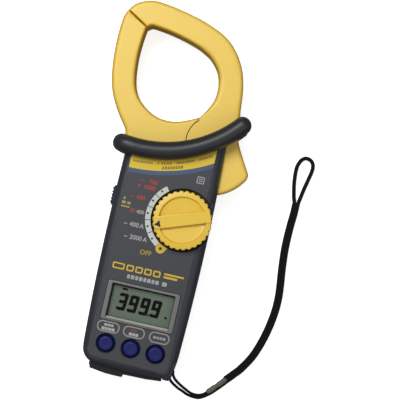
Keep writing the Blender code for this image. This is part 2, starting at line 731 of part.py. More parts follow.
# A cell from its flat end to its button end: radius, distance along.
CELL = [(0, 0), (6.4, 0), (7.0, 0.5), (7.0, 48.2), (6.3, 48.9), (2.7, 49.0), (2.6, 50.2),
        (0, 50.3)]
HOLDER_LOW = 2.6
CONTACT_HALF_W = 5.0
CONTACT_LOW, CONTACT_HIGH = 5.0, 15.4
COVER_CHAMFER = 0.5
GROOVE_PITCH, GROOVE_W = 2.4, 1.2
# radius, h
COVER_SCREW_PROFILE = [(0, 0.3), (2.3, 0.3), (2.3, 0.8), (1.2, 1.0), (1.2, 5.5), (0, 6.2)]


def reversed_along(mesh, start_v, x):
    """The mesh turned end for end, so that its v = 0 comes to start_v."""
    return flip(([(px + x, start_v - pv, ph) for px, pv, ph in mesh[0]], mesh[1]))


def build_batteries():
    tray_outer = rect(-17.2, 17.2, 17.4, 77.0, 1.5)
    tray_inner = rect(-16.0, 16.0, 18.6, 75.8, 1.0)
    tray = cup([ring(tray_outer, HOLDER_LOW), ring(tray_outer, 18.6)],
               [ring(tray_inner, HOLDER_LOW), ring(tray_inner, 17.5)])
    add_piece("battery_holder", tray, "black_plastic")
    cell = placed(turned(CELL, 20), h=CELL_H, axis="v")
    add_piece("battery_1", placed(cell, -CELL_X, 24.4), "cell_wrap")
    add_piece("battery_2", reversed_along(cell, 70.3, CELL_X), "cell_wrap")
    spring = coil(4.6, wire_r=0.4, low=0.0, high=4.0, turns=3, end_radius=2.4)
    spring = placed(spring, h=CELL_H, axis="v")
    add_piece("battery_spring_1", placed(spring, -CELL_X, 20.0), "steel")
    add_piece("battery_spring_2", reversed_along(spring, 74.8, CELL_X), "steel")
    link = block(-13.0, 13.0, 75.0, 75.5, CONTACT_LOW, CONTACT_HIGH)
    add_piece("battery_link", link, "steel")
    for i, x in enumerate((-CELL_X, CELL_X)):
        contact = block(x - CONTACT_HALF_W, x + CONTACT_HALF_W, 19.2, 19.7,
                        CONTACT_LOW, CONTACT_HIGH)
        add_piece("battery_contact_%d" % (i + 1), contact, "steel")


def build_battery_cover():
    steps = [("-", rod_at(COVER_SCREW, 2.6, -1.0, 1.0, 16)),
             ("-", rod_at(COVER_SCREW, 1.5, -2.0, 5.0, 12))]
    for k in range(4):
        v = 26.0 + GROOVE_PITCH * k
        steps.append(("-", block(-8.0, 8.0, v, v + GROOVE_W, -1.0, 0.5)))
    full = rect(*COVER_EDGE)
    plate = loft([ring(rect(*COVER_EDGE, grow=-COVER_CHAMFER), 0.0), ring(full, COVER_CHAMFER),
                  ring(full, 2.2)])
    add_piece("battery_cover", carve(plate, *steps), "case_dark", (0.0, 50.0, 1.0))
    screw = placed(turned(COVER_SCREW_PROFILE, 14), *COVER_SCREW)
    slot = block(-1.8, 1.8, 80.2, 80.8, -0.5, 0.6)
    add_piece("battery_screw", carve(screw, ("-", slot)), "steel")


# ---- jaws ----------------------------------------------------------------
# All jaw outlines and core lines are x, v.
OPENING_FIXED = [
    (9.75, 177.1), (4.8, 174.6), (-0.2, 172.5), (-5.1, 171.0), (-10.0, 170.5), (-14.9, 170.9),
    (-19.7, 172.2), (-24.6, 174.8), (-29.7, 178.8), (-33.2, 182.8), (-35.9, 188.0),
    (-37.5, 194.6), (-38.4, 202.1), (-38.7, 210.0), (-38.4, 217.9), (-37.7, 224.3),
    (-37.2, 227.8)]
OUTER_FIXED = [
    (-51.8, 237.3), (-53.8, 232.3), (-54.7, 225.1), (-55.0, 215.0), (-54.7, 205.0),
    (-53.9, 196.9), (-52.6, 189.7), (-50.5, 182.0), (-47.1, 174.9), (-42.9, 167.9),
    (-39.3, 163.0), (-36.9, 159.8), (-36.0, 157.7), (-35.8, 156.1)]
LEVER = [
    (22.2, 145.3), (25.0, 142.5), (26.4, 137.0), (27.0, 132.0), (29.0, 129.5), (33.0, 129.5),
    (36.7, 131.1), (40.8, 133.6), (44.8, 137.0), (47.6, 140.1), (49.7, 143.0), (50.5, 145.5),
    (50.2, 147.6), (48.7, 150.3), (45.7, 155.1), (42.7, 160.3), (40.3, 164.9), (39.0, 168.5),
    (38.1, 175.0), (37.0, 182.0)]
OUTER_MOVING = [
    (36.1, 188.0), (35.4, 195.1), (34.6, 202.1), (33.0, 209.1), (30.9, 215.2), (28.5, 219.7),
    (25.5, 224.2), (20.6, 229.7), (15.6, 233.6), (10.4, 236.3), (0.4, 240.3), (-9.7, 243.0),
    (-19.8, 245.1), (-26.9, 246.1), (-34.0, 246.5), (-40.3, 245.7), (-46.0, 243.2),
    (-49.3, 240.5), (-51.4, 237.8)]
OPENING_MOVING = [
    (-36.8, 228.4), (-34.2, 229.9), (-30.1, 229.8), (-20.3, 228.4), (-10.4, 226.2),
    (-0.6, 223.1), (4.2, 220.8), (9.1, 217.8), (14.2, 212.1), (16.4, 207.7), (17.6, 202.8),
    (18.0, 198.0), (17.9, 193.8), (17.0, 189.5), (14.8, 184.6), (12.2, 180.1), (10.8, 178.1)]
FIXED_CORE = [
    (-46.9, 222.0), (-47.0, 214.0), (-46.6, 205.0), (-45.3, 196.5), (-42.6, 187.5),
    (-38.0, 179.0), (-31.5, 171.5), (-23.0, 165.3), (-13.0, 161.4), (-4.0, 160.2)]
MOVING_CORE = [
    (-40.5, 238.0), (-34.0, 238.6), (-26.0, 237.9), (-17.0, 236.3), (-7.0, 233.8), (2.5, 230.6),
    (11.0, 226.0), (18.0, 219.8), (23.0, 212.4), (25.9, 204.0), (26.9, 195.0), (26.8, 186.5)]
FIXED_CAVITY = [(-46.2, 229.5)] + FIXED_CORE + [(2.0, 160.2)]
MOVING_CAVITY = [(-41.3, 237.8)] + MOVING_CORE + [(26.7, 185.6)]
CORE_HALF, CAVITY_HALF = 4.2, 4.9

# Each run's weight is its share of the edge rounding.
FIXED_JAW = weighted(
    ([(-29.8, 150.0)], 0.3),
    (arc(PIVOT, HUB_R + 0.4, 224.5, 133.0, 6), 0.12),
    (OPENING_FIXED[:-1], 0.55), (OPENING_FIXED[-1:], 0.1),
    (OUTER_FIXED[:-1], 1.0), (OUTER_FIXED[-1:] + [(-29.8, 155.8)], 0.3))
MOVING_JAW = weighted(
    (arc(PIVOT, HUB_R, 131.0, 262.0, 8), 0.12),
    (LEVER + OUTER_MOVING[:-1], 1.0), (OUTER_MOVING[-1:], 0.1),
    (OPENING_MOVING, 0.55))
JAW_EDGE = 3.0         # depth of the edge rounding
# Share of the inset, share of the depth left to the outer face.
JAW_ROUNDING = ((0.12, 0.55), (0.42, 0.18), (1.0, 0.0))
JAW_SEAM_HALF = 0.15


def jaw_front(outline):
    rows = [ring(outline, JAW_MID + JAW_SEAM_HALF), ring(outline, JAW_H1 - JAW_EDGE)]
    rows += [ring(inset(outline, JAW_EDGE * share), JAW_H1 - JAW_EDGE * left)
             for share, left in JAW_ROUNDING]
    return loft(rows)


def jaw_rear(outline):
    rows = [ring(inset(outline, JAW_EDGE * share), JAW_H0 + JAW_EDGE * left)
            for share, left in reversed(JAW_ROUNDING)]
    rows += [ring(outline, JAW_H0 + JAW_EDGE), ring(outline, JAW_MID - JAW_SEAM_HALF)]
    return loft(rows)


def jaw_cavity(line):
    return "-", prism(band(line, CAVITY_HALF), 10.6, 28.9)


def jaw_core(line):
    return prism(band(line, CORE_HALF), 11.6, 27.9)


def build_fixed_jaw():
    cavity = jaw_cavity(FIXED_CAVITY)
    add_piece("fixed_jaw_rear", carve(jaw_rear(FIXED_JAW), cavity), "jaw_yellow")
    add_piece("fixed_jaw_front", carve(jaw_front(FIXED_JAW), cavity), "jaw_yellow")
    add_piece("fixed_core", jaw_core(FIXED_CORE), "core_steel")
    for end, (x0, x1, v0, v1) in (("tip", (-49.0, -44.0, 224.0, 226.2)),
                                  ("hub", (-2.2, 0.4, 156.6, 163.8))):
        add_piece("hall_sensor_" + end, block(x0, x1, v0, v1, 15.0, 24.5), "black_plastic")


def build_moving_jaw():
    cavity = jaw_cavity(MOVING_CAVITY)
    bore = ("-", rod_at(PIVOT, PIN_BORE_R, 0.0, 40.0, 24))
    spring_room = ("-", rod_at(PIVOT, 7.6, 0.0, 14.2, 24))
    add_piece("moving_jaw_rear", carve(jaw_rear(MOVING_JAW), cavity, bore, spring_room),
              "jaw_yellow", PIVOT_ORIGIN)
    add_piece("moving_jaw_front", carve(jaw_front(MOVING_JAW), cavity, bore),
              "jaw_yellow", PIVOT_ORIGIN)
    add_piece("moving_core", jaw_core(MOVING_CORE), "core_steel", PIVOT_ORIGIN)
    add_piece("jaw_pin", rod_at(PIVOT, PIN_R, 1.7, 36.3, 24), "steel", PIVOT_ORIGIN)
    spring = coil(5.3, wire_r=0.6, low=9.0, high=13.6, turns=3.5)
    add_piece("jaw_spring", placed(spring, *PIVOT), "steel")


# ---- terminals -----------------------------------------------------------
# x, v
TERMINAL_BLOCK = [(-25.5, 12.6), (-25.5, 0.0), (-24.0, -1.2), (-13.0, -2.1), (0.0, -2.1),
                  (14.0, -1.4), (24.2, -0.4), (24.2, 12.6)]
TERMINAL_COVER = [(-24.6, 3.2), (-24.6, -2.2), (-13.0, -3.9), (-1.8, -4.0), (-1.8, 3.2)]


def build_terminals():
    holes = [("-", placed(rod(3.9, -6.0, 11.0), x, 0.0, SOCKET_H, "v")) for x in SOCKET_X]
    add_piece("terminal_block", carve(prism(TERMINAL_BLOCK, 9.3, 28.7), *holes), "black_plastic")
    for i, x in enumerate(SOCKET_X):
        socket = placed(sleeve(2.05, 2.9, 0.8, 10.6, 20), x, 0.0, SOCKET_H, "v")
        add_piece("socket_%d" % (i + 1), socket, "brass")
    hollow = block(-30.0, 5.0, -2.45, 6.0, 9.0, 29.0)
    add_piece("terminal_cover", carve(prism(TERMINAL_COVER, 7.5, 30.5), ("-", hollow)),
              "black_plastic", (-13.2, 0.0, SOCKET_H))


# ---- strap ---------------------------------------------------------------
# Thin cord from the sleeve, round the bar and back: x, v, h.
CORD_LINE = [
    (57.3, -1.3, 1.6), (54.6, -3.6, 1.6), (50.4, -5.0, 1.8), (45.5, -4.0, 3.4), (40.5, -0.8, 9.0),
    (35.6, 3.6, 15.5), (31.6, 7.9, 18.6), (29.3, 8.7, 19.0), (27.2, 7.6, 19.0), (26.9, 5.6, 19.0),
    (28.3, 3.5, 18.7), (31.6, 1.3, 17.0), (36.4, -1.6, 12.5), (41.0, -4.6, 6.6),
    (45.6, -6.8, 2.6), (50.3, -7.4, 1.6), (55.0, -6.0, 1.6), (58.6, -3.2, 1.6)]
SLEEVE_LINE = [(58.3, -1.9, 1.9), (61.6, 2.0, 1.9), (64.4, 6.0, 1.9), (66.4, 9.2, 1.9)]
# Middle line between the strands, and the loop that joins their far ends: x, v.
STRAP_LINE = [
    (66.9, 10.0), (70.6, 14.4), (75.6, 20.0), (80.6, 28.0), (84.4, 38.5), (87.2, 51.0),
    (88.9, 64.0), (89.2, 75.0), (87.8, 86.5), (86.0, 98.0), (85.2, 109.0), (85.2, 120.0),
    (86.0, 130.5)]
STRAP_LOOP = [
    (83.4, 142.0), (81.2, 151.5), (80.4, 159.5), (82.6, 166.3), (87.0, 168.3), (91.2, 165.6),
    (92.2, 159.0), (91.0, 150.0), (89.0, 140.5)]
STRAND_OFFSET = 1.38
STRAP_H = 1.7


def build_strap():
    add_piece("strap_bar", rod_at(STRAP_BAR, 1.15, 12.3, 25.9, 12), "steel")
    add_piece("strap_cord", cord(spline(CORD_LINE, 2), 1.0, 1.0, 7), "cord_black", STRAP_ORIGIN)
    add_piece("strap_sleeve", cord(spline(SLEEVE_LINE, 2), 1.7, 2.6, 12), "sleeve_grey",
              STRAP_ORIGIN)
    left, right = both_sides(STRAP_LINE, STRAND_OFFSET)
    path = ring(left + STRAP_LOOP + right[::-1], STRAP_H)
    add_piece("strap", cord(path, 1.1, 1.25, 6), "cord_black", STRAP_ORIGIN)


build_front_case()
build_rear_case()
build_case_screws()
build_panel()
build_display()
build_buttons()
build_hold_button()
build_dial()
build_detent()
build_board()
build_batteries()
build_battery_cover()
build_fixed_jaw()
build_moving_jaw()
build_terminals()
build_strap()
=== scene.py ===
"""A clamp meter lying on its back: charcoal case, yellow jaws and dial, printed panel, display and wrist strap.

Lengths are millimetres in the meter's own layout: x across, to the right as seen from the front, v along the
body from its lower end, h up from the back face to the front. The frame's axes are x, v - 100 and h, in metres.
A mesh is a pair (vertices, faces). An outline runs anticlockwise as (x, v) points, with an optional third
number: a weight that scales how far the outline moves there when it is inset."""
import json
import math

import bpy
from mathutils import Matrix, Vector


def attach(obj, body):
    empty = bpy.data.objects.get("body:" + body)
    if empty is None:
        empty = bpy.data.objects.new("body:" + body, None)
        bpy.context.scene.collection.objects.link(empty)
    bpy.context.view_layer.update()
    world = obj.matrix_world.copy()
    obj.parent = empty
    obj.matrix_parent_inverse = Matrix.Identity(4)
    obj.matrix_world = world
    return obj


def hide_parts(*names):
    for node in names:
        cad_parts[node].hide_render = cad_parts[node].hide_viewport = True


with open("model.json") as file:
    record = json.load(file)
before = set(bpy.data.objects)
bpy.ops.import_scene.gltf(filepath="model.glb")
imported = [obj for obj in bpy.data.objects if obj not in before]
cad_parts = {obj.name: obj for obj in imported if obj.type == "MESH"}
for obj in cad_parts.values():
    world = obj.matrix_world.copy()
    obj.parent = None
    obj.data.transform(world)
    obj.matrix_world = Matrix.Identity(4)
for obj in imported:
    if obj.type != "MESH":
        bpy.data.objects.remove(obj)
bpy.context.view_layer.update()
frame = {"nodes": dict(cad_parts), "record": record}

MM = 0.001
ORIGIN_V = 100.0                             # v of the frame's origin
# case: a barrel shape, widest at BARREL_V
BODY_HALF_W, BARREL_V, BARREL_R = 33.8, 92.0, 1700.0
BODY_H, PARTING_H, WALL = 38.0, 17.0, 2.0
GAP = 0.3                                    # clearance round inserted parts
SEAM = 0.1                                   # each half stops this far from the parting plane
# hand guard: an arc centred above the case
GUARD_C, GUARD_R, GUARD_T = (-23.5, 230.8), 81.3, 5.6
TUBE_R, TUBE_HALF, TUBE_X = 82.3, 6.05, -35.7
TUBE_RUN_X, TUBE_RIGHT_X = -28.0, 39.2
# jaws
JAW_H0, JAW_H1, JAW_MID = 8.5, 31.0, 19.75
JAW_EDGE, JAW_LIP = 3.0, 0.25                # edge rounding at the faces and at the seam
PIVOT, HUB_R, PIN_R = (22.0, 162.5), 17.2, 3.0
# controls, display and covers; boxes are x0, x1, v0, v1
DIAL_C, DIAL_R, DIAL_WELL_R = (14.4, 108.1), 19.8, 20.8
DIAL_TEETH, DIAL_REST = 30, 200.8            # DIAL_REST: degrees at which the pointer rests
BUTTON_X, BUTTON_V, BUTTON_R, BUTTON_WELL_R = (-17.0, -0.2, 16.6), 18.0, 4.9, 6.5
LCD_BOX, LCD_CORNER = (-24.3, 24.3, 33.35, 59.75), 1.5
COVER_BOX, COVER_CORNER = (-17.6, 17.6, 17.0, 84.0), 2.0
SCREWS = ((-27.2, 27.0), (27.2, 27.0), (-26.8, 131.0), (26.6, 119.0))
ADD, CUT = "UNION", "DIFFERENCE"


# ---- outlines and curves -------------------------------------------------
def polar(x, v, radius, degrees):
    angle = math.radians(degrees)
    return x + radius * math.cos(angle), v + radius * math.sin(angle)


def arc(x, v, radius, start, end, steps):
    return [polar(x, v, radius, start + (end - start) * i / steps) for i in range(steps + 1)]


def circle(x, v, radius, count=24):
    return arc(x, v, radius, 0, 360 - 360 / count, count - 1)


def rect(x0, x1, v0, v1, radius=0.0, steps=6):
    if not radius:
        return [(x0, v0), (x1, v0), (x1, v1), (x0, v1)]
    return (arc(x1 - radius, v0 + radius, radius, -90, 0, steps)
            + arc(x1 - radius, v1 - radius, radius, 0, 90, steps)
            + arc(x0 + radius, v1 - radius, radius, 90, 180, steps)
            + arc(x0 + radius, v0 + radius, radius, 180, 270, steps))


def hole_for(box, corner):
    """A rounded box with clearance all round."""
    x0, x1, v0, v1 = box
    return rect(x0 - GAP, x1 + GAP, v0 - GAP, v1 + GAP, corner + GAP)


def spline(stations, steps):
    """A Catmull-Rom curve through stations of any dimension, with steps points to a span."""
    def beyond(end, neighbour):
        return tuple(2 * a - b for a, b in zip(end, neighbour))

    full = [beyond(stations[0], stations[1]), *stations, beyond(stations[-1], stations[-2])]
    curve = []
    for span in zip(full, full[1:], full[2:], full[3:]):
        for j in range(steps):
            t = j / steps
            curve.append(tuple(
                0.5 * (2 * b + (c - a) * t + (2 * a - 5 * b + 4 * c - d) * t * t
                       + (3 * b - a - 3 * c + d) * t ** 3)
                for a, b, c, d in zip(*span)))
    curve.append(tuple(stations[-1]))
    return curve


def smoothstep(t):
    return t * t * (3 - 2 * t)


def weighted(*runs):
    """One outline from (points, weight) runs."""
    return [(p[0], p[1], weight) for points, weight in runs for p in points]


def weight_of(point):
    return point[2] if len(point) > 2 else 1.0


def inset(outline, depth):
    """The outline moved inwards; each side moves by depth times the weight of its first point."""
    moved = []
    for i, here in enumerate(outline):
        before, after = outline[i - 1], outline[(i + 1) % len(outline)]
        normal_a = Vector((-(here[1] - before[1]), here[0] - before[0])).normalized()
        normal_b = Vector((-(after[1] - here[1]), after[0] - here[0])).normalized()
        cross = normal_a.x * normal_b.y - normal_a.y * normal_b.x
        depth_a, depth_b = depth * weight_of(before), depth * weight_of(here)
        if abs(cross) < 0.25:  # nearly straight: move along the mean normal
            mean = (normal_a + normal_b).normalized()
            reach = (depth_a + depth_b) / 2 / max(mean.dot(normal_a), 0.5)
            moved.append((here[0] + mean.x * reach, here[1] + mean.y * reach))
        else:
            moved.append((here[0] + (depth_a * normal_b.y - depth_b * normal_a.y) / cross,
                          here[1] + (normal_a.x * depth_b - normal_b.x * depth_a) / cross))
    return moved


def quarter(steps):
    """Shares of inset and of depth round a quarter circle, from the side to the face."""
    angles = [math.radians(90 * i / steps) for i in range(1, steps + 1)]
    return [(1 - math.cos(angle), 1 - math.sin(angle)) for angle in angles]


# ---- meshes --------------------------------------------------------------
def ring(outline, h):
    return [(p[0], p[1], h) for p in outline]


def stack(outline, levels):
    """Rings of one outline at (inset, h) levels."""
    return [ring(inset(outline, depth) if depth else outline, h) for depth, h in levels]


def walls(count, size, base=0, inward=False):
    """Quads between count rings of size vertices each, the first starting at base."""
    faces = []
    for low in range(base, base + (count - 1) * size, size):
        for i in range(size):
            j = (i + 1) % size
            if inward:
                faces.append((low + j, low + i, low + size + i, low + size + j))
            else:
                faces.append((low + i, low + j, low + size + j, low + size + i))
    return faces


def loft(rings):
    """A closed solid through rings of equal length."""
    size = len(rings[0])
    verts = [p for row in rings for p in row]
    caps = [tuple(range(size))[::-1], tuple(range(len(verts) - size, len(verts)))]
    return verts, walls(len(rings), size) + caps


def flip(mesh):
    return mesh[0], [tuple(reversed(face)) for face in mesh[1]]


def nested(outer, inner):
    """An outer skin and an inward-facing one inside it, with their ring size and the inner one's first index."""
    size = len(outer[0])
    base = len(outer) * size
    verts = [p for row in outer + inner for p in row]
    return verts, walls(len(outer), size) + walls(len(inner), size, base, True), size, base


def cup(outer, inner):
    """A shell open at its first rings and capped at its last."""
    verts, faces, size, base = nested(outer, inner)
    faces.append(tuple(range(base - size, base)))
    faces.append(tuple(range(len(verts) - size, len(verts)))[::-1])
    for i in range(size):
        j = (i + 1) % size
        faces.append((j, i, base + i, base + j))
    made = (verts, faces)
    return flip(made) if outer[-1][0][2] < outer[0][0][2] else made


def hollow(outer, inner):
    """A frame with a hole right through it."""
    verts, faces, size, base = nested(outer, inner)
    top_outer, top_inner = base - size, len(verts) - size
    for i in range(size):
        j = (i + 1) % size
        faces.append((j, i, base + i, base + j))
        faces.append((top_outer + i, top_outer + j, top_inner + j, top_inner + i))
    return verts, faces


def prism(outline, bottom, top, soft=0.0):
    """A plate, with edges rounded by soft."""
    if not soft:
        return loft([ring(outline, bottom), ring(outline, top)])
    slight = soft * 0.3
    return loft(stack(outline, [(soft, bottom), (slight, bottom + slight), (0, bottom + soft), (0, top - soft),
                                (slight, top - slight), (soft, top), (soft * 1.3, top)]))


def turned(profile, sides):
    """A (radius, h) profile turned about the h axis; a radius of 0 closes it."""
    verts, rows, faces = [], [], []
    for radius, h in profile:
        if radius < 1e-6:
            rows.append([len(verts)] * sides)
            verts.append((0.0, 0.0, h))
        else:
            rows.append(list(range(len(verts), len(verts) + sides)))
            angles = [2 * math.pi * i / sides for i in range(sides)]
            verts += [(radius * math.cos(angle), radius * math.sin(angle), h) for angle in angles]
    for low, high in zip(rows, rows[1:]):
        for i in range(sides):
            j = (i + 1) % sides
            face = tuple(dict.fromkeys((low[i], low[j], high[j], high[i])))
            if len(face) > 2:
                faces.append(face)
    return verts, faces


def placed(mesh, x, v, h=0.0, along_v=False, turn=0.0):
    """The mesh turned by degrees about h, laid along v if asked, then moved."""
    cos, sin = math.cos(math.radians(turn)), math.sin(math.radians(turn))
    verts = []
    for px, pv, ph in mesh[0]:
        px, pv = px * cos - pv * sin, px * sin + pv * cos
        if along_v:
            pv, ph = ph, -pv
        verts.append((px + x, pv + v, ph + h))
    return verts, mesh[1]


def rod(centre, radius, bottom, top, sides):
    return placed(turned([(0, bottom), (radius, bottom), (radius, top), (0, top)], sides), *centre)


def sweep(stations, sides, power=2.0):
    """A tube through (point, normal, (radius along normal, radius across)) stations. A power above 2 squares
    its section off."""
    rings = []
    for i, (point, normal, (radius_n, radius_b)) in enumerate(stations):
        before = Vector(stations[max(i - 1, 0)][0])
        after = Vector(stations[min(i + 1, len(stations) - 1)][0])
        point, normal = Vector(point), Vector(normal)
        tangent = (after - before).normalized()
        normal = (normal - tangent * normal.dot(tangent)).normalized()
        across = tangent.cross(normal)
        row = []
        for k in range(sides):
            cos, sin = math.cos(2 * math.pi * k / sides), math.sin(2 * math.pi * k / sides)
            cos = math.copysign(abs(cos) ** (2.0 / power), cos)
            sin = math.copysign(abs(sin) ** (2.0 / power), sin)
            row.append(tuple(point + normal * (radius_n * cos) + across * (radius_b * sin)))
        rings.append(row)
    return loft(rings)


def round_end(stations, steps):
    """The stations with a domed end added after the last."""
    last, normal, (radius_n, radius_b) = stations[-1]
    tangent = (Vector(last) - Vector(stations[-2][0])).normalized()
    depth = min(radius_n, radius_b)
    dome = []
    for k in range(1, steps + 1):
        angle = math.radians(88 * k / steps)
        dome.append((tuple(Vector(last) + tangent * (depth * math.sin(angle))), normal,
                     (radius_n * math.cos(angle), radius_b * math.cos(angle))))
    return stations + dome


def merged(*meshes):
    """Several meshes as one."""
    verts, faces = [], []
    for mesh_verts, mesh_faces in meshes:
        base = len(verts)
        verts += list(mesh_verts)
        faces += [tuple(i + base for i in face) for face in mesh_faces]
    return verts, faces


def linked(name, data):
    obj = bpy.data.objects.new(name, data)
    bpy.context.scene.collection.objects.link(obj)
    return obj


def temp_object(mesh):
    data = bpy.data.meshes.new("temp")
    data.from_pydata(mesh[0], [], mesh[1])
    return linked("temp", data)


def carve(base, *steps):
    """The base with (ADD or CUT, mesh) steps applied in turn."""
    obj = temp_object(base)
    tools = []
    for operation, mesh in steps:
        tool = temp_object(mesh)
        tools.append(tool)
        mod = obj.modifiers.new("step", "BOOLEAN")
        mod.object = tool
        mod.solver = "EXACT"
        mod.operation = operation
    bpy.context.view_layer.update()
    done = obj.evaluated_get(bpy.context.evaluated_depsgraph_get())
    data = done.to_mesh()
    made = ([tuple(v.co) for v in data.vertices], [tuple(p.vertices) for p in data.polygons])
    done.to_mesh_clear()
    for used in [obj] + tools:
        used_mesh = used.data
        bpy.data.objects.remove(used, do_unlink=True)
        bpy.data.meshes.remove(used_mesh)
    return made


def piece(name, mesh, material, body, replaces=None, smooth=32.0):
    """An object that rides on a body; edges sharper than smooth degrees stay crisp."""
    data = bpy.data.meshes.new(name)
    data.from_pydata([(x * MM, (v - ORIGIN_V) * MM, h * MM) for x, v, h in mesh[0]], [], mesh[1])
    data.validate()
    data.polygons.foreach_set("use_smooth", [True] * len(data.polygons))
    data.set_sharp_from_angle(angle=math.radians(smooth))
    data.materials.append(material)
    obj = linked(name, data)
    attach(obj, body)
    if replaces:
        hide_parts(replaces)


# ---- shader tools --------------------------------------------------------
DARK, LIGHT = (0, 0, 0), (1, 1, 1)


def rgb(*levels):
    """Linear colour from sRGB levels of 0 to 255."""
    return tuple((c / 255 / 12.92) if c / 255 <= 0.04045 else ((c / 255 + 0.055) / 1.055) ** 2.4
                 for c in levels)


def lit(*levels, haze=0.02):
    """Base colour of a satin surface that faces up and should look like these sRGB levels in this light."""
    return tuple(max(c - haze, 0.0015) for c in rgb(*levels))


def scaled(colour, factor):
    return tuple(min(max(c * factor, 0.0), 1.0) for c in colour)


class Nodes:
    """The node tree of a material or world, with short calls for the nodes used here. Any value may be a
    number, a tuple or another node's output."""

    def __init__(self, owner, shader="Principled BSDF"):
        owner.use_nodes = True
        self.owner = owner
        self.tree = owner.node_tree
        self.shader = self.tree.nodes[shader]

    def feed(self, node, inputs):
        for key, value in inputs.items():
            socket = node.inputs[key]
            if isinstance(value, bpy.types.NodeSocket):
                self.tree.links.new(value, socket)
            elif socket.type == "RGBA" and len(value) == 3:
                socket.default_value = (*value, 1.0)
            else:
                socket.default_value = value

    def shade(self, inputs):
        self.feed(self.shader, inputs)

    def node(self, kind, inputs=None):
        made = self.tree.nodes.new("ShaderNode" + kind)
        self.feed(made, inputs or {})
        return made

    def coords(self, scale=(1, 1, 1)):
        vector = self.node("TexCoord").outputs["Object"]
        return self.node("Mapping", {"Scale": scale, "Vector": vector}).outputs["Vector"]

    def noise(self, vector, scale, detail=3.0, roughness=0.55):
        return self.node("TexNoise", {"Scale": scale, "Detail": detail, "Roughness": roughness,
                                      "Vector": vector}).outputs["Fac"]

    def ramp(self, factor, *stops):
        made = self.node("ValToRGB", {"Fac": factor})
        elements = made.color_ramp.elements
        while len(elements) < len(stops):
            elements.new(0.5)
        for item, (position, colour) in zip(elements, stops):
            item.position = position
            item.color = (*colour, 1.0)
        return made.outputs["Color"]

    def math(self, operation, *values):
        made = self.node("Math", dict(enumerate(values)))
        made.operation = operation
        return made.outputs[0]

    def mix(self, factor, first, second):
        inputs = {"Fac": factor, "Color1": first, "Color2": second}
        return self.node("MixRGB", inputs).outputs["Color"]

    def vertical(self, vector):
        return self.node("SeparateXYZ", {"Vector": vector}).outputs["Z"]

    def bump(self, height, strength, distance):
        inputs = {"Strength": strength, "Distance": distance, "Height": height}
        self.shade({"Normal": self.node("Bump", inputs).outputs["Normal"]})

    def edge(self):
        """1 along edges, 0 on flats."""
        bevel = self.node("Bevel", {"Radius": 0.0007})
        bevel.samples = 4
        dot = self.node("VectorMath", {0: bevel.outputs["Normal"],
                                       1: self.node("NewGeometry").outputs["Normal"]})
        dot.operation = "DOT_PRODUCT"
        bend = self.math("SUBTRACT", 1.0, dot.outputs["Value"])
        inputs = {"From Min": 0.015, "From Max": 0.16, "Value": bend}
        return self.node("MapRange", inputs).outputs["Result"]


def new_material(name):
    return Nodes(bpy.data.materials.new(name))


# ---- kinds of material ---------------------------------------------------
def plastic(name, base, roughness=0.5, grain=0.3, grain_mm=0.4, mottle=0.04, wear=0.0, specular=0.5,
            coat=0.0, side=None):
    """Moulded plastic: fine grain, faint mottling, rubbed edges and hairline scuffs. A side colour is painted
    shade: it darkens the faces that run down from the front or back face."""
    nodes = new_material(name)
    vector = nodes.coords()
    fine = nodes.noise(vector, 1000.0 / grain_mm, detail=2.0)
    broad = nodes.noise(vector, 45.0, detail=4.0)
    cloud = nodes.noise(vector, 260.0)
    colour = nodes.mix(broad, scaled(base, 1 - mottle), scaled(base, 1 + mottle))
    colour = nodes.mix(nodes.math("MULTIPLY", cloud, mottle), colour, scaled(base, 1.25))
    # painted shade: steep faces take the darker side colour
    if side:
        up = nodes.vertical(nodes.node("NewGeometry").outputs["Normal"])
        painted_side_shade_mask = nodes.ramp(nodes.math("ABSOLUTE", up), (0.45, LIGHT), (0.985, DARK))
        colour = nodes.mix(painted_side_shade_mask, colour, side)
    if wear:
        patches = nodes.ramp(nodes.noise(vector, 380.0, detail=4.0), (0.35, DARK), (0.65, LIGHT))
        worn = nodes.math("MULTIPLY", nodes.edge(), patches)
        pale = scaled(tuple(0.75 * c + 0.10 for c in base), 1.15)
        colour = nodes.mix(nodes.math("MULTIPLY", worn, wear), colour, pale)
    scratch = nodes.noise(nodes.coords((60, 900, 200)), 1.0, detail=5.0, roughness=0.7)
    lines = nodes.ramp(scratch, (0.47, DARK), (0.5, LIGHT), (0.53, DARK))
    uneven = nodes.math("ADD", roughness - 0.06, nodes.math("MULTIPLY", broad, 0.12))
    nodes.shade({"Base Color": colour,
                 "Roughness": nodes.math("SUBTRACT", uneven, nodes.math("MULTIPLY", lines, 0.03)),
                 "Specular IOR Level": specular, "Coat Weight": coat, "Coat Roughness": 0.25})
    nodes.bump(fine, strength=grain, distance=0.00004)
    return nodes.owner


def printed(name, base, under, patch=0.12, specular=0.5):
    """Screen-printed ink; the colour under it shows through by up to the patch share."""
    nodes = new_material(name)
    vector = nodes.coords()
    cover = nodes.ramp(nodes.noise(vector, 2600.0), (0.25, DARK), (0.62, LIGHT))
    factor = nodes.math("ADD", 1 - patch, nodes.math("MULTIPLY", cover, patch))
    uneven = nodes.math("MULTIPLY", nodes.noise(vector, 500.0), 0.1)
    nodes.shade({"Base Color": nodes.mix(factor, under, base), "Roughness": nodes.math("ADD", 0.4, uneven),
                 "Specular IOR Level": specular})
    nodes.bump(nodes.noise(vector, 3500.0), strength=0.2, distance=0.00002)
    return nodes.owner


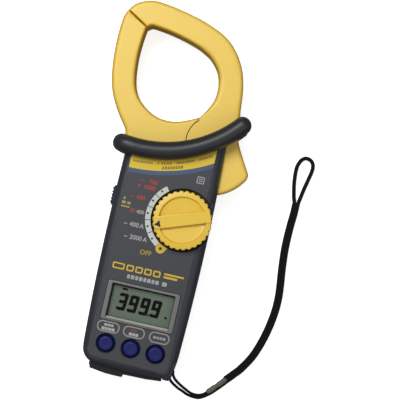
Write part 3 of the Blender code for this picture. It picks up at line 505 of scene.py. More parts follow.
def metal(name, base, roughness, brushed=True, tarnish=None):
    """Bare metal with tarnish spots; brushed metal gets noise drawn out across h."""
    nodes = new_material(name)
    vector = nodes.coords((30, 30, 1200) if brushed else (1, 1, 1))
    grain = nodes.noise(vector, 4.0 if brushed else 900.0, detail=4.0)
    spots = nodes.ramp(nodes.noise(nodes.coords(), 500.0, detail=5.0), (0.45, DARK), (0.7, LIGHT))
    spots = nodes.math("MULTIPLY", spots, 0.35)
    nodes.shade({"Base Color": nodes.mix(spots, base, tarnish or scaled(base, 0.55)), "Metallic": 1.0,
                 "Roughness": nodes.math("ADD", roughness - 0.08, nodes.math("MULTIPLY", grain, 0.2))})
    nodes.bump(grain, strength=0.25, distance=0.00003)
    return nodes.owner


def braid(name, base, light):
    """Braided cord: small crossing yarns with a dull sheen."""
    nodes = new_material(name)
    vector = nodes.coords()
    waves = []
    for turn in (0.6, -0.6):
        rotated = nodes.node("Mapping", {"Rotation": (0, 0, turn), "Vector": vector}).outputs["Vector"]
        waves.append(nodes.node("TexWave", {"Scale": 420.0, "Distortion": 1.2, "Detail": 2.0,
                                            "Vector": rotated}).outputs["Fac"])
    weave = nodes.math("MAXIMUM", *waves)
    fibre = nodes.math("MULTIPLY", nodes.noise(vector, 6000.0), 1.1)
    nodes.shade({"Base Color": nodes.mix(nodes.math("MULTIPLY", weave, fibre), base, light),
                 "Roughness": 0.85, "Sheen Weight": 0.04, "Sheen Roughness": 0.5,
                 "Specular IOR Level": 0.2})
    nodes.bump(weave, strength=0.9, distance=0.00025)
    return nodes.owner


def display(name):
    """The display's grey-green back layer, slightly uneven."""
    nodes = new_material(name)
    vector = nodes.coords()
    broad = nodes.noise(vector, 28.0, detail=2.0)
    fine = nodes.noise(vector, 5000.0, detail=2.0)
    colour = nodes.mix(broad, lit(98, 109, 98, haze=0.01), lit(110, 121, 109, haze=0.01))
    colour = nodes.mix(nodes.math("MULTIPLY", fine, 0.2), colour, lit(120, 130, 117, haze=0.01))
    nodes.shade({"Base Color": colour, "Roughness": 0.45, "Specular IOR Level": 0.3})
    nodes.bump(fine, strength=0.1, distance=0.00001)
    return nodes.owner


def clear(name):
    """A thin clear window: a faint, smudged reflection over whatever lies behind."""
    nodes = new_material(name)
    nodes.tree.nodes.remove(nodes.shader)
    smudge = nodes.ramp(nodes.noise(nodes.coords(), 60.0, roughness=0.5), (0.3, DARK), (0.8, LIGHT))
    roughness = nodes.math("ADD", 0.2, nodes.math("MULTIPLY", smudge, 0.04))
    gloss = nodes.node("BsdfGlossy", {"Roughness": roughness}).outputs["BSDF"]
    through = nodes.node("BsdfTransparent", {"Color": (0.97, 0.985, 0.97)}).outputs["BSDF"]
    fresnel = nodes.node("Fresnel", {"IOR": 1.25}).outputs["Fac"]
    outside = nodes.math("SUBTRACT", 1.0, nodes.node("NewGeometry").outputs["Backfacing"])
    mixed = nodes.node("MixShader", {"Fac": nodes.math("MULTIPLY", fresnel, outside), 1: through, 2: gloss})
    nodes.feed(nodes.tree.nodes["Material Output"], {"Surface": mixed.outputs["Shader"]})
    return nodes.owner


# ---- materials -----------------------------------------------------------
# the side colours of the jaw and knob are painted shade on their walls and edge roundings
YELLOW_JAW = plastic("moulded_yellow_jaw", lit(242, 207, 97), roughness=0.42, mottle=0.03, wear=0.1,
                     side=lit(214, 168, 44))
YELLOW_KNOB = plastic("moulded_yellow_knob", lit(235, 199, 78), roughness=0.38, grain=0.25, mottle=0.03,
                      wear=0.15, side=lit(222, 172, 36))
CASE = plastic("case_charcoal", lit(58, 61, 66), roughness=0.48, grain=0.6, grain_mm=0.55, mottle=0.08,
               wear=0.3)
GUARD = plastic("guard_charcoal", lit(47, 48, 52, haze=0.012), roughness=0.43, grain_mm=0.5, mottle=0.06,
                wear=0.1)
PANEL = plastic("panel_film_grey", lit(69, 71, 76), roughness=0.55, grain=0.4, grain_mm=0.25)
FRAME_GREY = plastic("display_frame_grey", lit(118, 117, 117), grain=0.4, wear=0.2)
BLUE = plastic("button_rubber_blue", lit(33, 39, 97, haze=0.01), roughness=0.45, grain_mm=0.5, mottle=0.06,
               wear=0.1, specular=0.3)
BLACK = plastic("black_abs", lit(29, 31, 35, haze=0.01), roughness=0.45, grain=0.5, grain_mm=0.5,
                mottle=0.08, wear=0.25, specular=0.4)
WHITE = plastic("white_abs", lit(200, 200, 195), mottle=0.03)
BOARD = plastic("board_lacquer", lit(30, 96, 56, haze=0.0), roughness=0.35, grain_mm=0.8, mottle=0.15)
CONNECTOR = plastic("connector_rubber", lit(135, 85, 85), roughness=0.7, grain=0.5, grain_mm=0.2, mottle=0.1)
CELL = plastic("cell_wrap_blue", lit(48, 68, 96), roughness=0.3, grain=0.1, grain_mm=1.0, mottle=0.05,
               wear=0.2, coat=0.3)
SLEEVE = plastic("strap_sleeve_grey", lit(98, 92, 84), grain=0.5, grain_mm=0.5, mottle=0.08, wear=0.2)
# painted highlight: a pale copy of the bezel grey for the lit lower inner wall of the window
PAINTED_LIT_LIP = plastic("display_lip_painted_highlight", lit(186, 185, 170))
# painted shadow: a near-black strip standing for the shadow the bezel casts into the window
PAINTED_SHADOW_STRIP = plastic("display_gasket_foam", (0.012, 0.013, 0.012), roughness=0.9, grain=0.8, mottle=0.1,
                 specular=0.2)
CORD = braid("strap_braid_black", rgb(9, 8, 8), rgb(26, 22, 22))
STEEL = metal("plated_steel", (0.56, 0.56, 0.57), roughness=0.3)
BRASS = metal("turned_brass", (0.66, 0.46, 0.17), roughness=0.28, brushed=False, tarnish=(0.35, 0.22, 0.08))
LAMINATE = metal("laminated_steel", (0.26, 0.26, 0.28), roughness=0.42)
LCD = display("display_layer")
WINDOW = clear("display_window")
# inks: surface colour, colour under it
INK_WHITE = printed("ink_white", lit(206, 211, 206), lit(150, 154, 152))
INK_GREY = printed("ink_grey", lit(168, 168, 166), lit(100, 102, 104), patch=0.25)
INK_RED = printed("ink_red", lit(178, 62, 54), lit(96, 66, 66), patch=0.2)
INK_YELLOW = printed("ink_yellow", lit(212, 180, 58), lit(150, 130, 60))
INK_YELLOW_DIM = printed("ink_yellow_dim", rgb(165, 150, 75), rgb(90, 88, 70), patch=0.3)
BAND_YELLOW = printed("band_yellow", lit(224, 192, 56), lit(180, 152, 52))
BAND_BLUE = printed("band_blue", lit(72, 92, 124), lit(60, 74, 96))
BAND_INK = printed("band_ink", lit(136, 110, 44), lit(180, 152, 52), patch=0.3)
INK_OFF = printed("ink_yellow_word", lit(172, 150, 48), lit(110, 100, 58), patch=0.3)
INK_KEY = printed("ink_key_line", lit(152, 152, 150), lit(104, 104, 106), patch=0.2)
INK_LEGEND = printed("ink_key_legend", lit(178, 182, 176), lit(110, 112, 112), patch=0.3)
INK_KEY_RED = printed("ink_key_red", lit(150, 70, 66), lit(96, 70, 70), patch=0.3)
INK_DOT = printed("ink_scale_dot", lit(46, 56, 52), lit(70, 78, 74))
INK_TICK = printed("ink_scale_tick", lit(118, 124, 120), lit(150, 154, 150), patch=0.3)
INK_DARK = printed("ink_dark", lit(42, 42, 52), lit(60, 60, 70))
SEGMENT = printed("display_segment", (0.002, 0.0025, 0.002), (0.006, 0.007, 0.006), specular=0.04)


# ---- case outline --------------------------------------------------------
SIDE_V0, SIDE_LENGTH, SIDE_STEPS = 24.0, 104.0, 12


def half_width(v):
    return BODY_HALF_W - (v - BARREL_V) ** 2 / (2 * BARREL_R)


def guard_v(x, radius=GUARD_R):
    """v of the guard's arc at x."""
    return GUARD_C[1] - math.sqrt(radius * radius - (x - GUARD_C[0]) ** 2)


# (x, v) stations round the lower end, from each side to or from the middle
LOWER_LEFT = [(-half_width(SIDE_V0), SIDE_V0), (-32.15, 17.0), (-31.4, 10.6), (-29.6, 6.8), (-27.0, 4.4),
              (-23.6, 3.2), (-12.0, 2.0), (0.0, 1.6)]
LOWER_RIGHT = [(0.0, 1.6), (12.0, 1.9), (22.5, 2.2), (26.6, 3.0), (29.2, 4.8), (30.7, 8.4), (31.6, 12.6),
               (32.2, 18.0), (half_width(SIDE_V0), SIDE_V0)]


def body_outline():
    lower = spline(LOWER_LEFT, 4) + spline(LOWER_RIGHT, 4)[1:]
    points = [(x, v, 0.72) if abs(x) > 20 and v < 13 else (x, v) for x, v in lower]
    sides = [SIDE_V0 + (SIDE_LENGTH * i / SIDE_STEPS) for i in range(1, SIDE_STEPS + 1)]
    points += [(half_width(v), v) for v in sides]
    right, left = half_width(171.0), -half_width(150.0)
    for i in range(25):
        x = right + (left - right) * i / 24
        points.append((x, guard_v(x)))
    return points + [(-half_width(v), v) for v in sides[::-1]]


BODY = body_outline()

# ---- jaws ----------------------------------------------------------------
# (x, v) stations; the opening is the inner edge of the closed jaws
OPENING_FIXED = [
    (10.2, 177.75), (8.9, 176.75), (4.79, 174.65), (-0.18, 172.49), (-5.13, 170.99), (-10.02, 170.56),
    (-14.87, 170.87), (-19.69, 172.24), (-24.64, 174.81), (-29.71, 178.78), (-33.2, 182.8),
    (-35.85, 187.98), (-37.46, 194.58), (-38.36, 202.09), (-38.68, 210.03), (-38.35, 217.93),
    (-37.71, 224.35), (-37.18, 227.8)]
OUTER_FIXED = [
    (-51.79, 237.31), (-53.81, 232.35), (-54.74, 225.12), (-55, 215.02), (-54.65, 204.96),
    (-53.86, 196.86), (-52.59, 189.71), (-50.46, 182.02), (-47.11, 174.93), (-42.89, 167.94),
    (-39.28, 162.96), (-36.93, 159.76), (-36.01, 157.74), (-35.79, 156.05), (-35.6, 153.5)]
LEVER = [
    (22.2, 145.3), (25, 142.5), (26.4, 137), (27, 132), (29, 129.5), (33.05, 129.41), (36.8, 130.88),
    (40.93, 133.42), (44.92, 136.84), (47.72, 140.03), (49.77, 143), (50.53, 145.55), (50.21, 147.58),
    (48.69, 150.31), (45.74, 155.14), (42.75, 160.34), (40.33, 164.9), (39.04, 168.55), (38.15, 175.04),
    (37.05, 182.04)]
OUTER_MOVING = [
    (36.07, 188.03), (35.45, 195.06), (34.56, 202.1), (32.98, 209.13), (30.87, 215.16), (28.47, 219.69),
    (25.54, 224.25), (20.63, 229.71), (15.61, 233.57), (10.45, 236.33), (0.37, 240.29), (-9.74, 243.02),
    (-19.83, 245.13), (-26.91, 246.21), (-34.03, 246.82), (-40.28, 245.91), (-46.06, 243.31),
    (-49.45, 240.46), (-51.54, 237.4)]
OPENING_MOVING = [
    (-36.99, 227.95), (-34.18, 229.9), (-30.1, 229.8), (-20.26, 228.4), (-10.4, 226.19), (-0.56, 223.1),
    (4.21, 220.77), (9.1, 217.76), (14.22, 212.06), (16.41, 207.67), (17.63, 202.84), (17.98, 198),
    (17.86, 193.75), (16.98, 189.53), (14.8, 184.6), (12.15, 180.1), (10.58, 178.05)]
JAW_STEPS = 5


def opening_weights(points, high, start, end, short_first=0, short_last=0):
    """The opening's edge, rounded most between the shares start and end of the run and least at its
    short_first first or short_last last points."""
    low, last = 0.62, len(points) - 1
    run = []
    for i, (x, v) in enumerate(points):
        share = i / last
        rise = max(0.0, min(1.0, (share - start) / 0.12)) * max(0.0, min(1.0, (end - share) / 0.12))
        weight = low + (high - low) * smoothstep(rise)
        if i < short_first or i > last - short_last:
            weight = 0.2
        run.append((x, v, weight))
    return run


def fixed_jaw_outline():
    opening = spline(OPENING_FIXED, JAW_STEPS)[:-1]
    return (weighted(([(-29.8, 150.0)], 0.3), (arc(*PIVOT, HUB_R + 0.3, 224.5, 131.6, 24), 0.06))
            + opening_weights(opening, 0.75, 0.1, 0.9, short_first=6)
            + weighted(([OPENING_FIXED[-1]], 0.02), (spline(OUTER_FIXED, JAW_STEPS)[:-1], 1.0),
                       ([OUTER_FIXED[-1]], 0.25), ([(-29.8, 153.5)], 0.3)))


def moving_jaw_outline():
    outer = spline(LEVER + OUTER_MOVING, JAW_STEPS)[:-1]
    return (weighted((arc(*PIVOT, HUB_R, 131.0, 262.0, 32), 0.06), (outer, 1.0), ([OUTER_MOVING[-1]], 0.02))
            + opening_weights(spline(OPENING_MOVING, JAW_STEPS), 1.12, 0.28, 0.92, short_last=6))


def split_long(outline, longest):
    """The same weighted outline with extra points, so that no side is longer than longest."""
    points = []
    for here, after in zip(outline, outline[1:] + outline[:1]):
        parts = max(1, math.ceil(math.hypot(after[0] - here[0], after[1] - here[1]) / longest))
        for j in range(parts):
            share = j / parts
            points.append(tuple(a + (b - a) * share for a, b in zip(here, after)))
    return points


def shrink(outline, depths):
    """Insets of one outline at rising depths, all with the same points. The points move inwards in small
    steps and slide along the outline to stay apart, so tight corners don't fold over."""
    step, slide = 0.06, 0.35
    points = [Vector((p[0], p[1])) for p in outline]
    weights = [weight_of(p) for p in outline]
    count = len(points)
    for _ in range(2):
        weights = [(weights[i - 1] + 2 * weights[i] + weights[(i + 1) % count]) / 4 for i in range(count)]
    gaps = [(points[(i + 1) % count] - points[i]).length for i in range(count)]
    outlines, done = [], 0.0
    for depth in depths:
        while done < depth - 1e-9:
            advance = min(step, depth - done)
            moved = []
            for i in range(count):
                before, here, after = points[i - 1], points[i], points[(i + 1) % count]
                tangent = (here - before).normalized() + (after - here).normalized()
                tangent = tangent.normalized() if tangent.length > 1e-6 else (after - before).normalized()
                moved.append(here + Vector((-tangent.y, tangent.x)) * advance * weights[i])
            for _ in range(3):
                slid = []
                for i in range(count):
                    before, here, after = moved[i - 1], moved[i], moved[(i + 1) % count]
                    tangent = (after - before).normalized()
                    goal = before + (after - before) * (gaps[i - 1] / (gaps[i - 1] + gaps[i]))
                    slid.append(here + tangent * (slide * (goal - here).dot(tangent)))
                moved = slid
            points = moved
            done += advance
        outlines.append([(p.x, p.y) for p in points])
    return outlines


def jaw_half(outline, front):
    """The half of a jaw in front of or behind the seam, rounded towards its face."""
    outline = split_long(outline, 1.3)
    bottom, top = (JAW_MID + SEAM, JAW_H1) if front else (JAW_H0, JAW_MID - SEAM)
    shares = quarter(8) + [(1.22, 0.0)]
    insets = shrink(outline, [JAW_EDGE * share for share, _ in shares])
    rows = [ring(shape, (top - JAW_EDGE * drop) if front else (bottom + JAW_EDGE * drop))
            for shape, (_, drop) in zip(insets, shares)]
    seam = ring(inset(outline, JAW_LIP), bottom if front else top)
    if front:
        return loft([seam, ring(outline, bottom + JAW_LIP), ring(outline, top - JAW_EDGE)] + rows)
    return loft(rows[::-1] + [ring(outline, bottom + JAW_EDGE), ring(outline, top - JAW_LIP), seam])


pin_bore = rod(PIVOT, PIN_R + 0.12, 0.0, 40.0, 48)
for jaw, outline, body, cuts in (("fixed_jaw", fixed_jaw_outline(), "case", ()),
                                 ("moving_jaw", moving_jaw_outline(), "moving_jaw", ((CUT, pin_bore),))):
    for half in ("front", "rear"):
        shell = jaw_half(outline, half == "front")
        piece(f"{jaw}_{half}_shell", carve(shell, *cuts) if cuts else shell, YELLOW_JAW, body,
              f"{jaw}_{half}")

# ---- hand guard ----------------------------------------------------------
# (x, h) stations of each tube's bend, from the parting plane on the left into the run across the case
BEND_FRONT = [(TUBE_X, PARTING_H + SEAM), (TUBE_X, 24.0), (TUBE_X, 30.0), (TUBE_X + 0.1, 34.4),
              (TUBE_X + 1.1, 38.0), (-32.6, 40.1), (TUBE_RUN_X, 40.5)]
BEND_REAR = [(TUBE_X, PARTING_H - SEAM), (TUBE_X, 13.0), (TUBE_X, 10.0), (TUBE_X + 0.2, 7.4),
             (TUBE_X + 1.4, 5.3), (-32.2, 4.5), (TUBE_RUN_X, 4.35)]


def guard_tube(bend, run_half):
    """One of the guard's tubes; its half height changes to run_half round the bend."""
    stations = []

    def station(x, h, half_height):
        v = guard_v(x, TUBE_R)
        stations.append(((x, v, h), (GUARD_C[0] - x, GUARD_C[1] - v, 0.0), (TUBE_HALF, half_height)))

    curve = spline(bend, 5)
    for i, (x, h) in enumerate(curve):
        share = smoothstep(max(0.0, (i / (len(curve) - 1) - 0.3) / 0.7))
        station(x, h, TUBE_HALF + (run_half - TUBE_HALF) * share)
    for i in range(1, 49):
        station(TUBE_RUN_X + (TUBE_RIGHT_X - TUBE_RUN_X) * i / 48, bend[-1][1], run_half)
    return sweep(round_end(stations, 8), 40, power=2.15)


# ---- case halves ---------------------------------------------------------
JAW_ROOM = [(-30.3, 141.0), (6.0, 141.0), (8.0, 126.9), (60.0, 126.9), (60.0, 200.0), (-60.0, 200.0),
            (-60.0, 155.5), (-30.3, 155.5)]
# solid lower right corner, and the lug that reaches its end
CORNER = [(24.9, 4.0), (27.2, 4.6), (29.0, 6.4), (30.2, 10.8), (30.6, 14.0), (24.9, 14.0)]
LUG = [(22.5, 1.4), (28.3, 1.3), (29.7, 2.1), (30.3, 3.6), (30.6, 8.0), (30.2, 14.0), (22.5, 14.0)]
STRAP_NOTCH = rect(25.5, 38.0, -2.0, 10.3)
LCD_CUT = (CUT, prism(hole_for(LCD_BOX, LCD_CORNER), 30.0, 50.0))


def shared_cuts(jaw_room_bottom):
    """Room for the jaws, the terminal block and the strap."""
    return [(CUT, prism(JAW_ROOM, jaw_room_bottom, 31.5)), (CUT, prism(rect(-25.9, 24.6, -10.0, 9.0), 7.2, 30.8)),
            (CUT, prism(STRAP_NOTCH, 13.8, 24.2))]


def front_case():
    round_in, round_down, seam = 5.6, 7.4, PARTING_H + SEAM
    outer = stack(BODY, [(0.45, seam), (0.15, PARTING_H + 0.4), (0, 21.0), (0.1, BODY_H - round_down)]
                  + [(0.1 + round_in * share, BODY_H - round_down * drop) for share, drop in quarter(10)]
                  + [(round_in + 0.5, BODY_H)])
    inner = stack(BODY, [(WALL + 0.25, seam), (WALL + 0.5, 31.0), (WALL + 3.6, BODY_H - WALL)])
    dial_boss = [(min(x, 32.0), v) for x, v in circle(*DIAL_C, 22.6, 72)]
    chamfer = turned([(0, 37.6), (DIAL_WELL_R - 0.05, 37.6), (DIAL_WELL_R + 0.7, 38.3), (0, 38.3)], 96)
    steps = [(ADD, prism(dial_boss, 31.4, 36.6)), (ADD, prism(CORNER, seam, 36.4)),
             (ADD, prism(LUG, seam, 29.5, 0.6)), (CUT, rod(DIAL_C, DIAL_WELL_R, 33.0, 60.0, 96)),
             (CUT, placed(chamfer, *DIAL_C)), (CUT, rod(DIAL_C, 4.1, 20.0, 40.0, 32))]
    # button wells with chamfered mouths
    well_r, depth, flare = BUTTON_WELL_R - 0.45, 9.0, 0.7
    well = turned([(0, BODY_H - depth), (well_r, BODY_H - depth), (well_r, BODY_H - flare),
                   (well_r + flare * 2, BODY_H + flare), (0, BODY_H + flare)], 64)
    steps += [(CUT, placed(well, x, BUTTON_V)) for x in BUTTON_X]
    hold_slot = rect(-50.0, -28.0, 107.0, 121.7)
    steps += [LCD_CUT, (CUT, prism(hold_slot, 19.7, 29.3))] + shared_cuts(8.0)
    return carve(cup(outer, inner), *steps)


def rear_case():
    round_in, round_down, seam = 5.0, 4.4, PARTING_H - SEAM
    outer = stack(BODY, [(0.35, seam), (0.05, PARTING_H - 0.4), (0.2, 8.0), (0.5, round_down)]
                  + [(0.5 + round_in * share, round_down * drop) for share, drop in quarter(8)]
                  + [(round_in + 1.0, 0.0)])
    inner = stack(BODY, [(WALL, seam), (WALL + 0.5, 8.0), (WALL + 3.0, WALL)])
    steps = [(ADD, prism(CORNER, 1.2, seam)), (ADD, prism(LUG, 2.5, seam, 0.6))]
    steps += [(ADD, rod(screw, 4.2, 1.0, seam, 24)) for screw in SCREWS]
    head = turned([(0, -0.6), (3.5, -0.6), (3.5, 0.05), (3.1, 0.4), (3.1, 3.2), (0, 3.2)], 32)
    for screw in SCREWS:
        steps += [(CUT, placed(head, *screw)), (CUT, rod(screw, 1.8, 2.0, 25.0, 16))]
    steps.append((CUT, prism(hole_for(COVER_BOX, COVER_CORNER), -1.0, 4.0)))
    steps += shared_cuts(8.3)
    for k in range(7):  # shallow grooves across the back
        groove_v = 92.0 + 5.0 * k
        steps.append((CUT, prism(rect(-13.0, 13.0, groove_v, groove_v + 1.6, 0.75, 4), -1.0, 0.5)))
    return carve(cup(outer, inner), *steps)


def battery_cover():
    plate = loft(stack(rect(*COVER_BOX, COVER_CORNER), [(0.9, 0.0), (0.6, 0.0), (0.18, 0.18), (0, 0.6), (0, 2.2)]))
    screw = (0.0, 80.5)
    steps = [(CUT, rod(screw, 2.6, -1.0, 1.0, 32)), (CUT, rod(screw, 1.5, -2.0, 5.0, 16))]
    for k in range(6):  # grooves that shorten upwards
        half, groove_v = 9.0 - 0.6 * k, 2.4 * k
        groove = rect(-half, half, 24.0 + groove_v, 25.3 + groove_v, 0.6, 4)
        steps.append((CUT, prism(groove, -1.0, 0.6)))
    return carve(plate, *steps)


piece("front_case_shell", front_case(), CASE, "case", "front_case")
piece("guard_front", guard_tube(BEND_FRONT, run_half=8.2), GUARD, "case")
piece("rear_case_shell", rear_case(), CASE, "case", "rear_case")
piece("guard_rear", guard_tube(BEND_REAR, run_half=3.9), GUARD, "case")
piece("battery_cover_plate", battery_cover(), CASE, "battery_door", "battery_cover")

# ---- panel film ----------------------------------------------------------
PANEL_X0, PANEL_X1 = -27.9, 27.0
INK_H = BODY_H + 0.4
OVERPRINT_H = INK_H + 0.05                   # ink printed on ink


def panel_film():
    top = []
    for i in range(25):
        x = PANEL_X1 + (PANEL_X0 - PANEL_X1) * i / 24
        top.append((x, guard_v(x, GUARD_R + GUARD_T - 1.0)))
    outline = ([(PANEL_X0, 13.0)] + arc(PANEL_X0 + 5.0, 13.0, 5.0, 188, 270, 8)
               + arc(PANEL_X1 - 4.4, 10.8, 4.3, 270, 354, 8) + [(PANEL_X1, 13.0)] + top)
    steps = [(CUT, rod(DIAL_C, DIAL_WELL_R + 0.25, 30, 50, 96)), LCD_CUT]
    steps += [(CUT, rod((x, BUTTON_V), BUTTON_WELL_R + 0.22, 30, 50, 64)) for x in BUTTON_X]
    return carve(loft(stack(outline, [(0, BODY_H - 0.1), (0, BODY_H + 0.3), (0.12, INK_H)])), *steps)


piece("panel_film", panel_film(), PANEL, "case", "panel_label")


# ---- print tools ---------------------------------------------------------
def film(outline, height=INK_H):
    return prism(outline, height - 0.05, height + 0.04)


def film_frame(outline, width):
    """A closed printed line inside an outline."""
    return hollow(*[[ring(edge, INK_H - 0.05), ring(edge, INK_H + 0.04)]
                    for edge in (outline, inset(outline, width))])


def ink_meshes(name, meshes, material):
    piece(name, merged(*meshes), material, "case")


def ink(name, outlines, material, height=INK_H):
    ink_meshes(name, [film(outline, height) for outline in outlines], material)


def dashes(start, stop, widths, gap):
    """(x, width) of dashes that begin before stop, taking the widths in turn."""
    x, count = start, 0
    while x < stop:
        width = widths[count % len(widths)]
        yield x, width
        x += width + gap
        count += 1


# ---- curved band ---------------------------------------------------------
BAND_C = (-27.4, 241.3)


def band_shape(inner_r, outer_r, x0, x1, steps=28):
    def edge(radius):
        xs = [x0 + (x1 - x0) * i / steps for i in range(steps + 1)]
        return [(x, BAND_C[1] - math.sqrt(radius * radius - (x - BAND_C[0]) ** 2)) for x in xs]

    return edge(outer_r) + edge(inner_r)[::-1]


def small_print(inner_r, height, x0, x1, widths, gap, breaks=()):
    """A row of small bars along the band; none overlaps the (x0, x1) breaks."""
    return [band_shape(inner_r, inner_r + height, x, x + width, 3) for x, width in dashes(x0, x1, widths, gap)
            if not any(a < x + width and x < b for a, b in breaks)]


BAND_ENDS = (PANEL_X0 + 0.1, PANEL_X1 - 0.4)
ink("print_band_yellow", [band_shape(98.2, 106.6, *BAND_ENDS)], BAND_YELLOW)
ink("print_band_blue", [band_shape(106.65, 109.4, *BAND_ENDS)], BAND_BLUE)
BREAKS = ((-12.2, -10.8), (-8.6, -7.4), (-0.2, 2.2), (14.2, 15.4))
ink("print_band_dashes",
    small_print(101.0, 1.35, -26.0, 24.4, (1.0, 0.7, 1.2, 0.8), 0.42, BREAKS)
    + small_print(103.7, 1.9, -6.2, 6.6, (1.2, 1.5, 1.0), 0.45), BAND_INK, OVERPRINT_H)

# ---- scale round the dial ------------------------------------------------
SCALE_R0, SCALE_R1 = 21.0, 24.6
DOTS = [137.5, 158.6, 180.8, 202.1, 223.7]   # degrees
OFF_C = polar(*DIAL_C, 23.6, 244.8)
ink("print_scale", [arc(*DIAL_C, SCALE_R1, 127.0, 236.5, 60) + arc(*DIAL_C, SCALE_R0, 236.5, 127.0, 60)],
    INK_WHITE)
ink("print_scale_marks", [circle(*polar(*DIAL_C, 23.3, angle), 0.72) for angle in DOTS], INK_DOT, OVERPRINT_H)
middles = [(a + b) / 2 for a, b in zip(DOTS, DOTS[1:])]
ink("print_scale_ticks", [arc(*DIAL_C, SCALE_R1, angle - 0.8, angle + 0.8, 2)
                          + arc(*DIAL_C, SCALE_R0 + 0.1, angle + 0.8, angle - 0.8, 2) for angle in middles],
    INK_TICK, OVERPRINT_H)
ink("print_off_lobe", [arc(*OFF_C, 3.25, 165, 320, 26) + arc(*DIAL_C, SCALE_R0, 254.5, 235.5, 14)], INK_YELLOW)
ink("print_off_dot", [circle(*OFF_C, 1.0)], INK_DARK, OVERPRINT_H)

# ---- button legends ------------------------------------------------------
ink_meshes("print_key_outlines", [film_frame(rect(x0, x1, 25.3, 32.6, 3.4, 8), 0.8)
                                  for x0, x1 in ((-25.2, -10.1), (-7.6, 6.9), (9.9, 23.6))], INK_KEY)


def word_bar(x0, x1, middle_v, height):
    """A row of short bars in place of a word."""
    return [rect(x, min(x + width, x1), middle_v - height / 2, middle_v + height / 2)
            for x, width in dashes(x0, x1 - 0.5, (2.2, 1.5, 1.8), 0.35)]


ink("print_key_legends", word_bar(-20.6, -14.4, 30.1, 1.5) + word_bar(-21.9, -13.0, 27.5, 1.9)
    + word_bar(-3.4, 2.8, 27.5, 1.9), INK_LEGEND)
ink("print_key_legend_red", word_bar(-2.6, 1.2, 30.1, 1.2), INK_KEY_RED)
ink("print_key_legend_grey", word_bar(12.6, 21.0, 28.9, 1.7), INK_KEY)

# ---- numbers and signs ---------------------------------------------------
# text, x, v, height
RED_NUMBERS = [("750", -12.6, 126.9, 2.8), ("~", -18.2, 126.9, 2.8), ("1000", -15.5, 123.0, 2.8),
               ("=", -19.4, 123.0, 2.8), ("400", -18.6, 115.4, 2.8), ("~", -22.8, 115.4, 2.8),
               ("40", -21.0, 106.2, 2.5)]
WHITE_NUMBERS = [("400", -16.4, 106.2, 2.4), ("~", -22.8, 97.0, 2.8), ("400", -19.0, 97.0, 2.9),
                 ("A", -12.2, 97.0, 2.9), ("~", -21.0, 88.8, 2.8), ("2000", -17.2, 88.8, 2.9),
                 ("A", -8.2, 88.8, 2.9)]


def lettering(name, items, material):
    meshes = []
    for text, x, v, height in items:
        curve = bpy.data.curves.new("text", "FONT")
        curve.body = text
        curve.size = height * 1.42
        curve.offset = 0.035 * height
        curve.resolution_u = 3
        obj = linked("text", curve)
        bpy.context.view_layer.update()
        made = bpy.data.meshes.new_from_object(obj.evaluated_get(bpy.context.evaluated_depsgraph_get()))
        meshes.append(([(p.co.x + x, p.co.y + v, INK_H + 0.04) for p in made.vertices],
                       [tuple(f.vertices) for f in made.polygons]))
        bpy.data.objects.remove(obj, do_unlink=True)
        bpy.data.curves.remove(curve)
        bpy.data.meshes.remove(made)
    ink_meshes(name, meshes, material)


lettering("print_red_numbers", RED_NUMBERS, INK_RED)
lettering("print_white_numbers", WHITE_NUMBERS, INK_GREY)
lettering("print_yellow_word", [("OFF", -8.4, 80.4, 3.1)], INK_OFF)
ink("print_yellow_side", [rect(-27.3, -21.4, 108.4, 109.4), rect(-27.3, -24.6, 110.6, 112.4, 0.3, 2),
                          rect(-23.6, -21.4, 110.6, 112.4, 0.3, 2),
                          [(-27.2, 113.6), (-24.9, 113.6), (-26.05, 115.6)]], INK_YELLOW_DIM)

# ---- bars above the display ----------------------------------------------
ink_meshes("print_yellow_bars",
           [film_frame(rect(-24.0, -15.9, 67.7, 71.9, 1.0, 4), 0.95)]
           + [film_frame(rect(x, x + 4.9, 67.7, 71.9, 0.8, 4), 0.95) for x in (-14.6, -8.6, -2.6, 3.4)]
           + [film(rect(10.6, 19.8, 68.2, 69.6)), film(rect(10.6, 23.8, 70.4, 71.6))], INK_YELLOW)
ink("print_white_bars", [rect(x, x + width, 62.9, 65.6, 0.4, 3)
                         for x, width in [*dashes(-13.0, 8.6, (1.9, 2.3), 0.65), (10.6, 3.2)]], INK_GREY)
ink_meshes("print_square_sign", [film_frame(rect(17.9, 22.9, 134.2, 138.8, 0.5, 4), 0.6),
                                 film_frame(rect(19.3, 21.5, 135.5, 137.5, 0.3, 4), 0.5)], INK_GREY)


# ---- display -------------------------------------------------------------
def bezel():
    x0, x1, v0, v1 = LCD_BOX
    outer = stack(rect(*LCD_BOX, LCD_CORNER, 8), [(0, 34.4), (0, 38.6), (0.12, 38.82)])
    outer.append(ring(rect(x0 + 0.35, x1 - 0.35, v0 + 0.35, v1 - 0.35, 1.2, 8), 38.9))
    # half width, v0, v1, corner radius, h
    opening = ((21.1, 35.6, 58.0, 0.5, 34.4), (21.1, 35.6, 58.0, 0.5, 35.7),
               (21.3, 34.2, 58.1, 0.7, 38.6), (21.5, 34.0, 58.3, 0.8, 38.9))
    return hollow(outer, [ring(rect(-half, half, low, high, corner, 8), h)
                          for half, low, high, corner, h in opening])


FIGURE_H, FIGURE_TOP = 34.3, 34.36
FIGURE_V0, FIGURE_V1, FIGURE_W = 40.9, 52.5, 6.0
BAR_W, SLANT = 2.15, 0.085
SEGMENTS = {"3": "abcdg", "9": "abcdfg"}


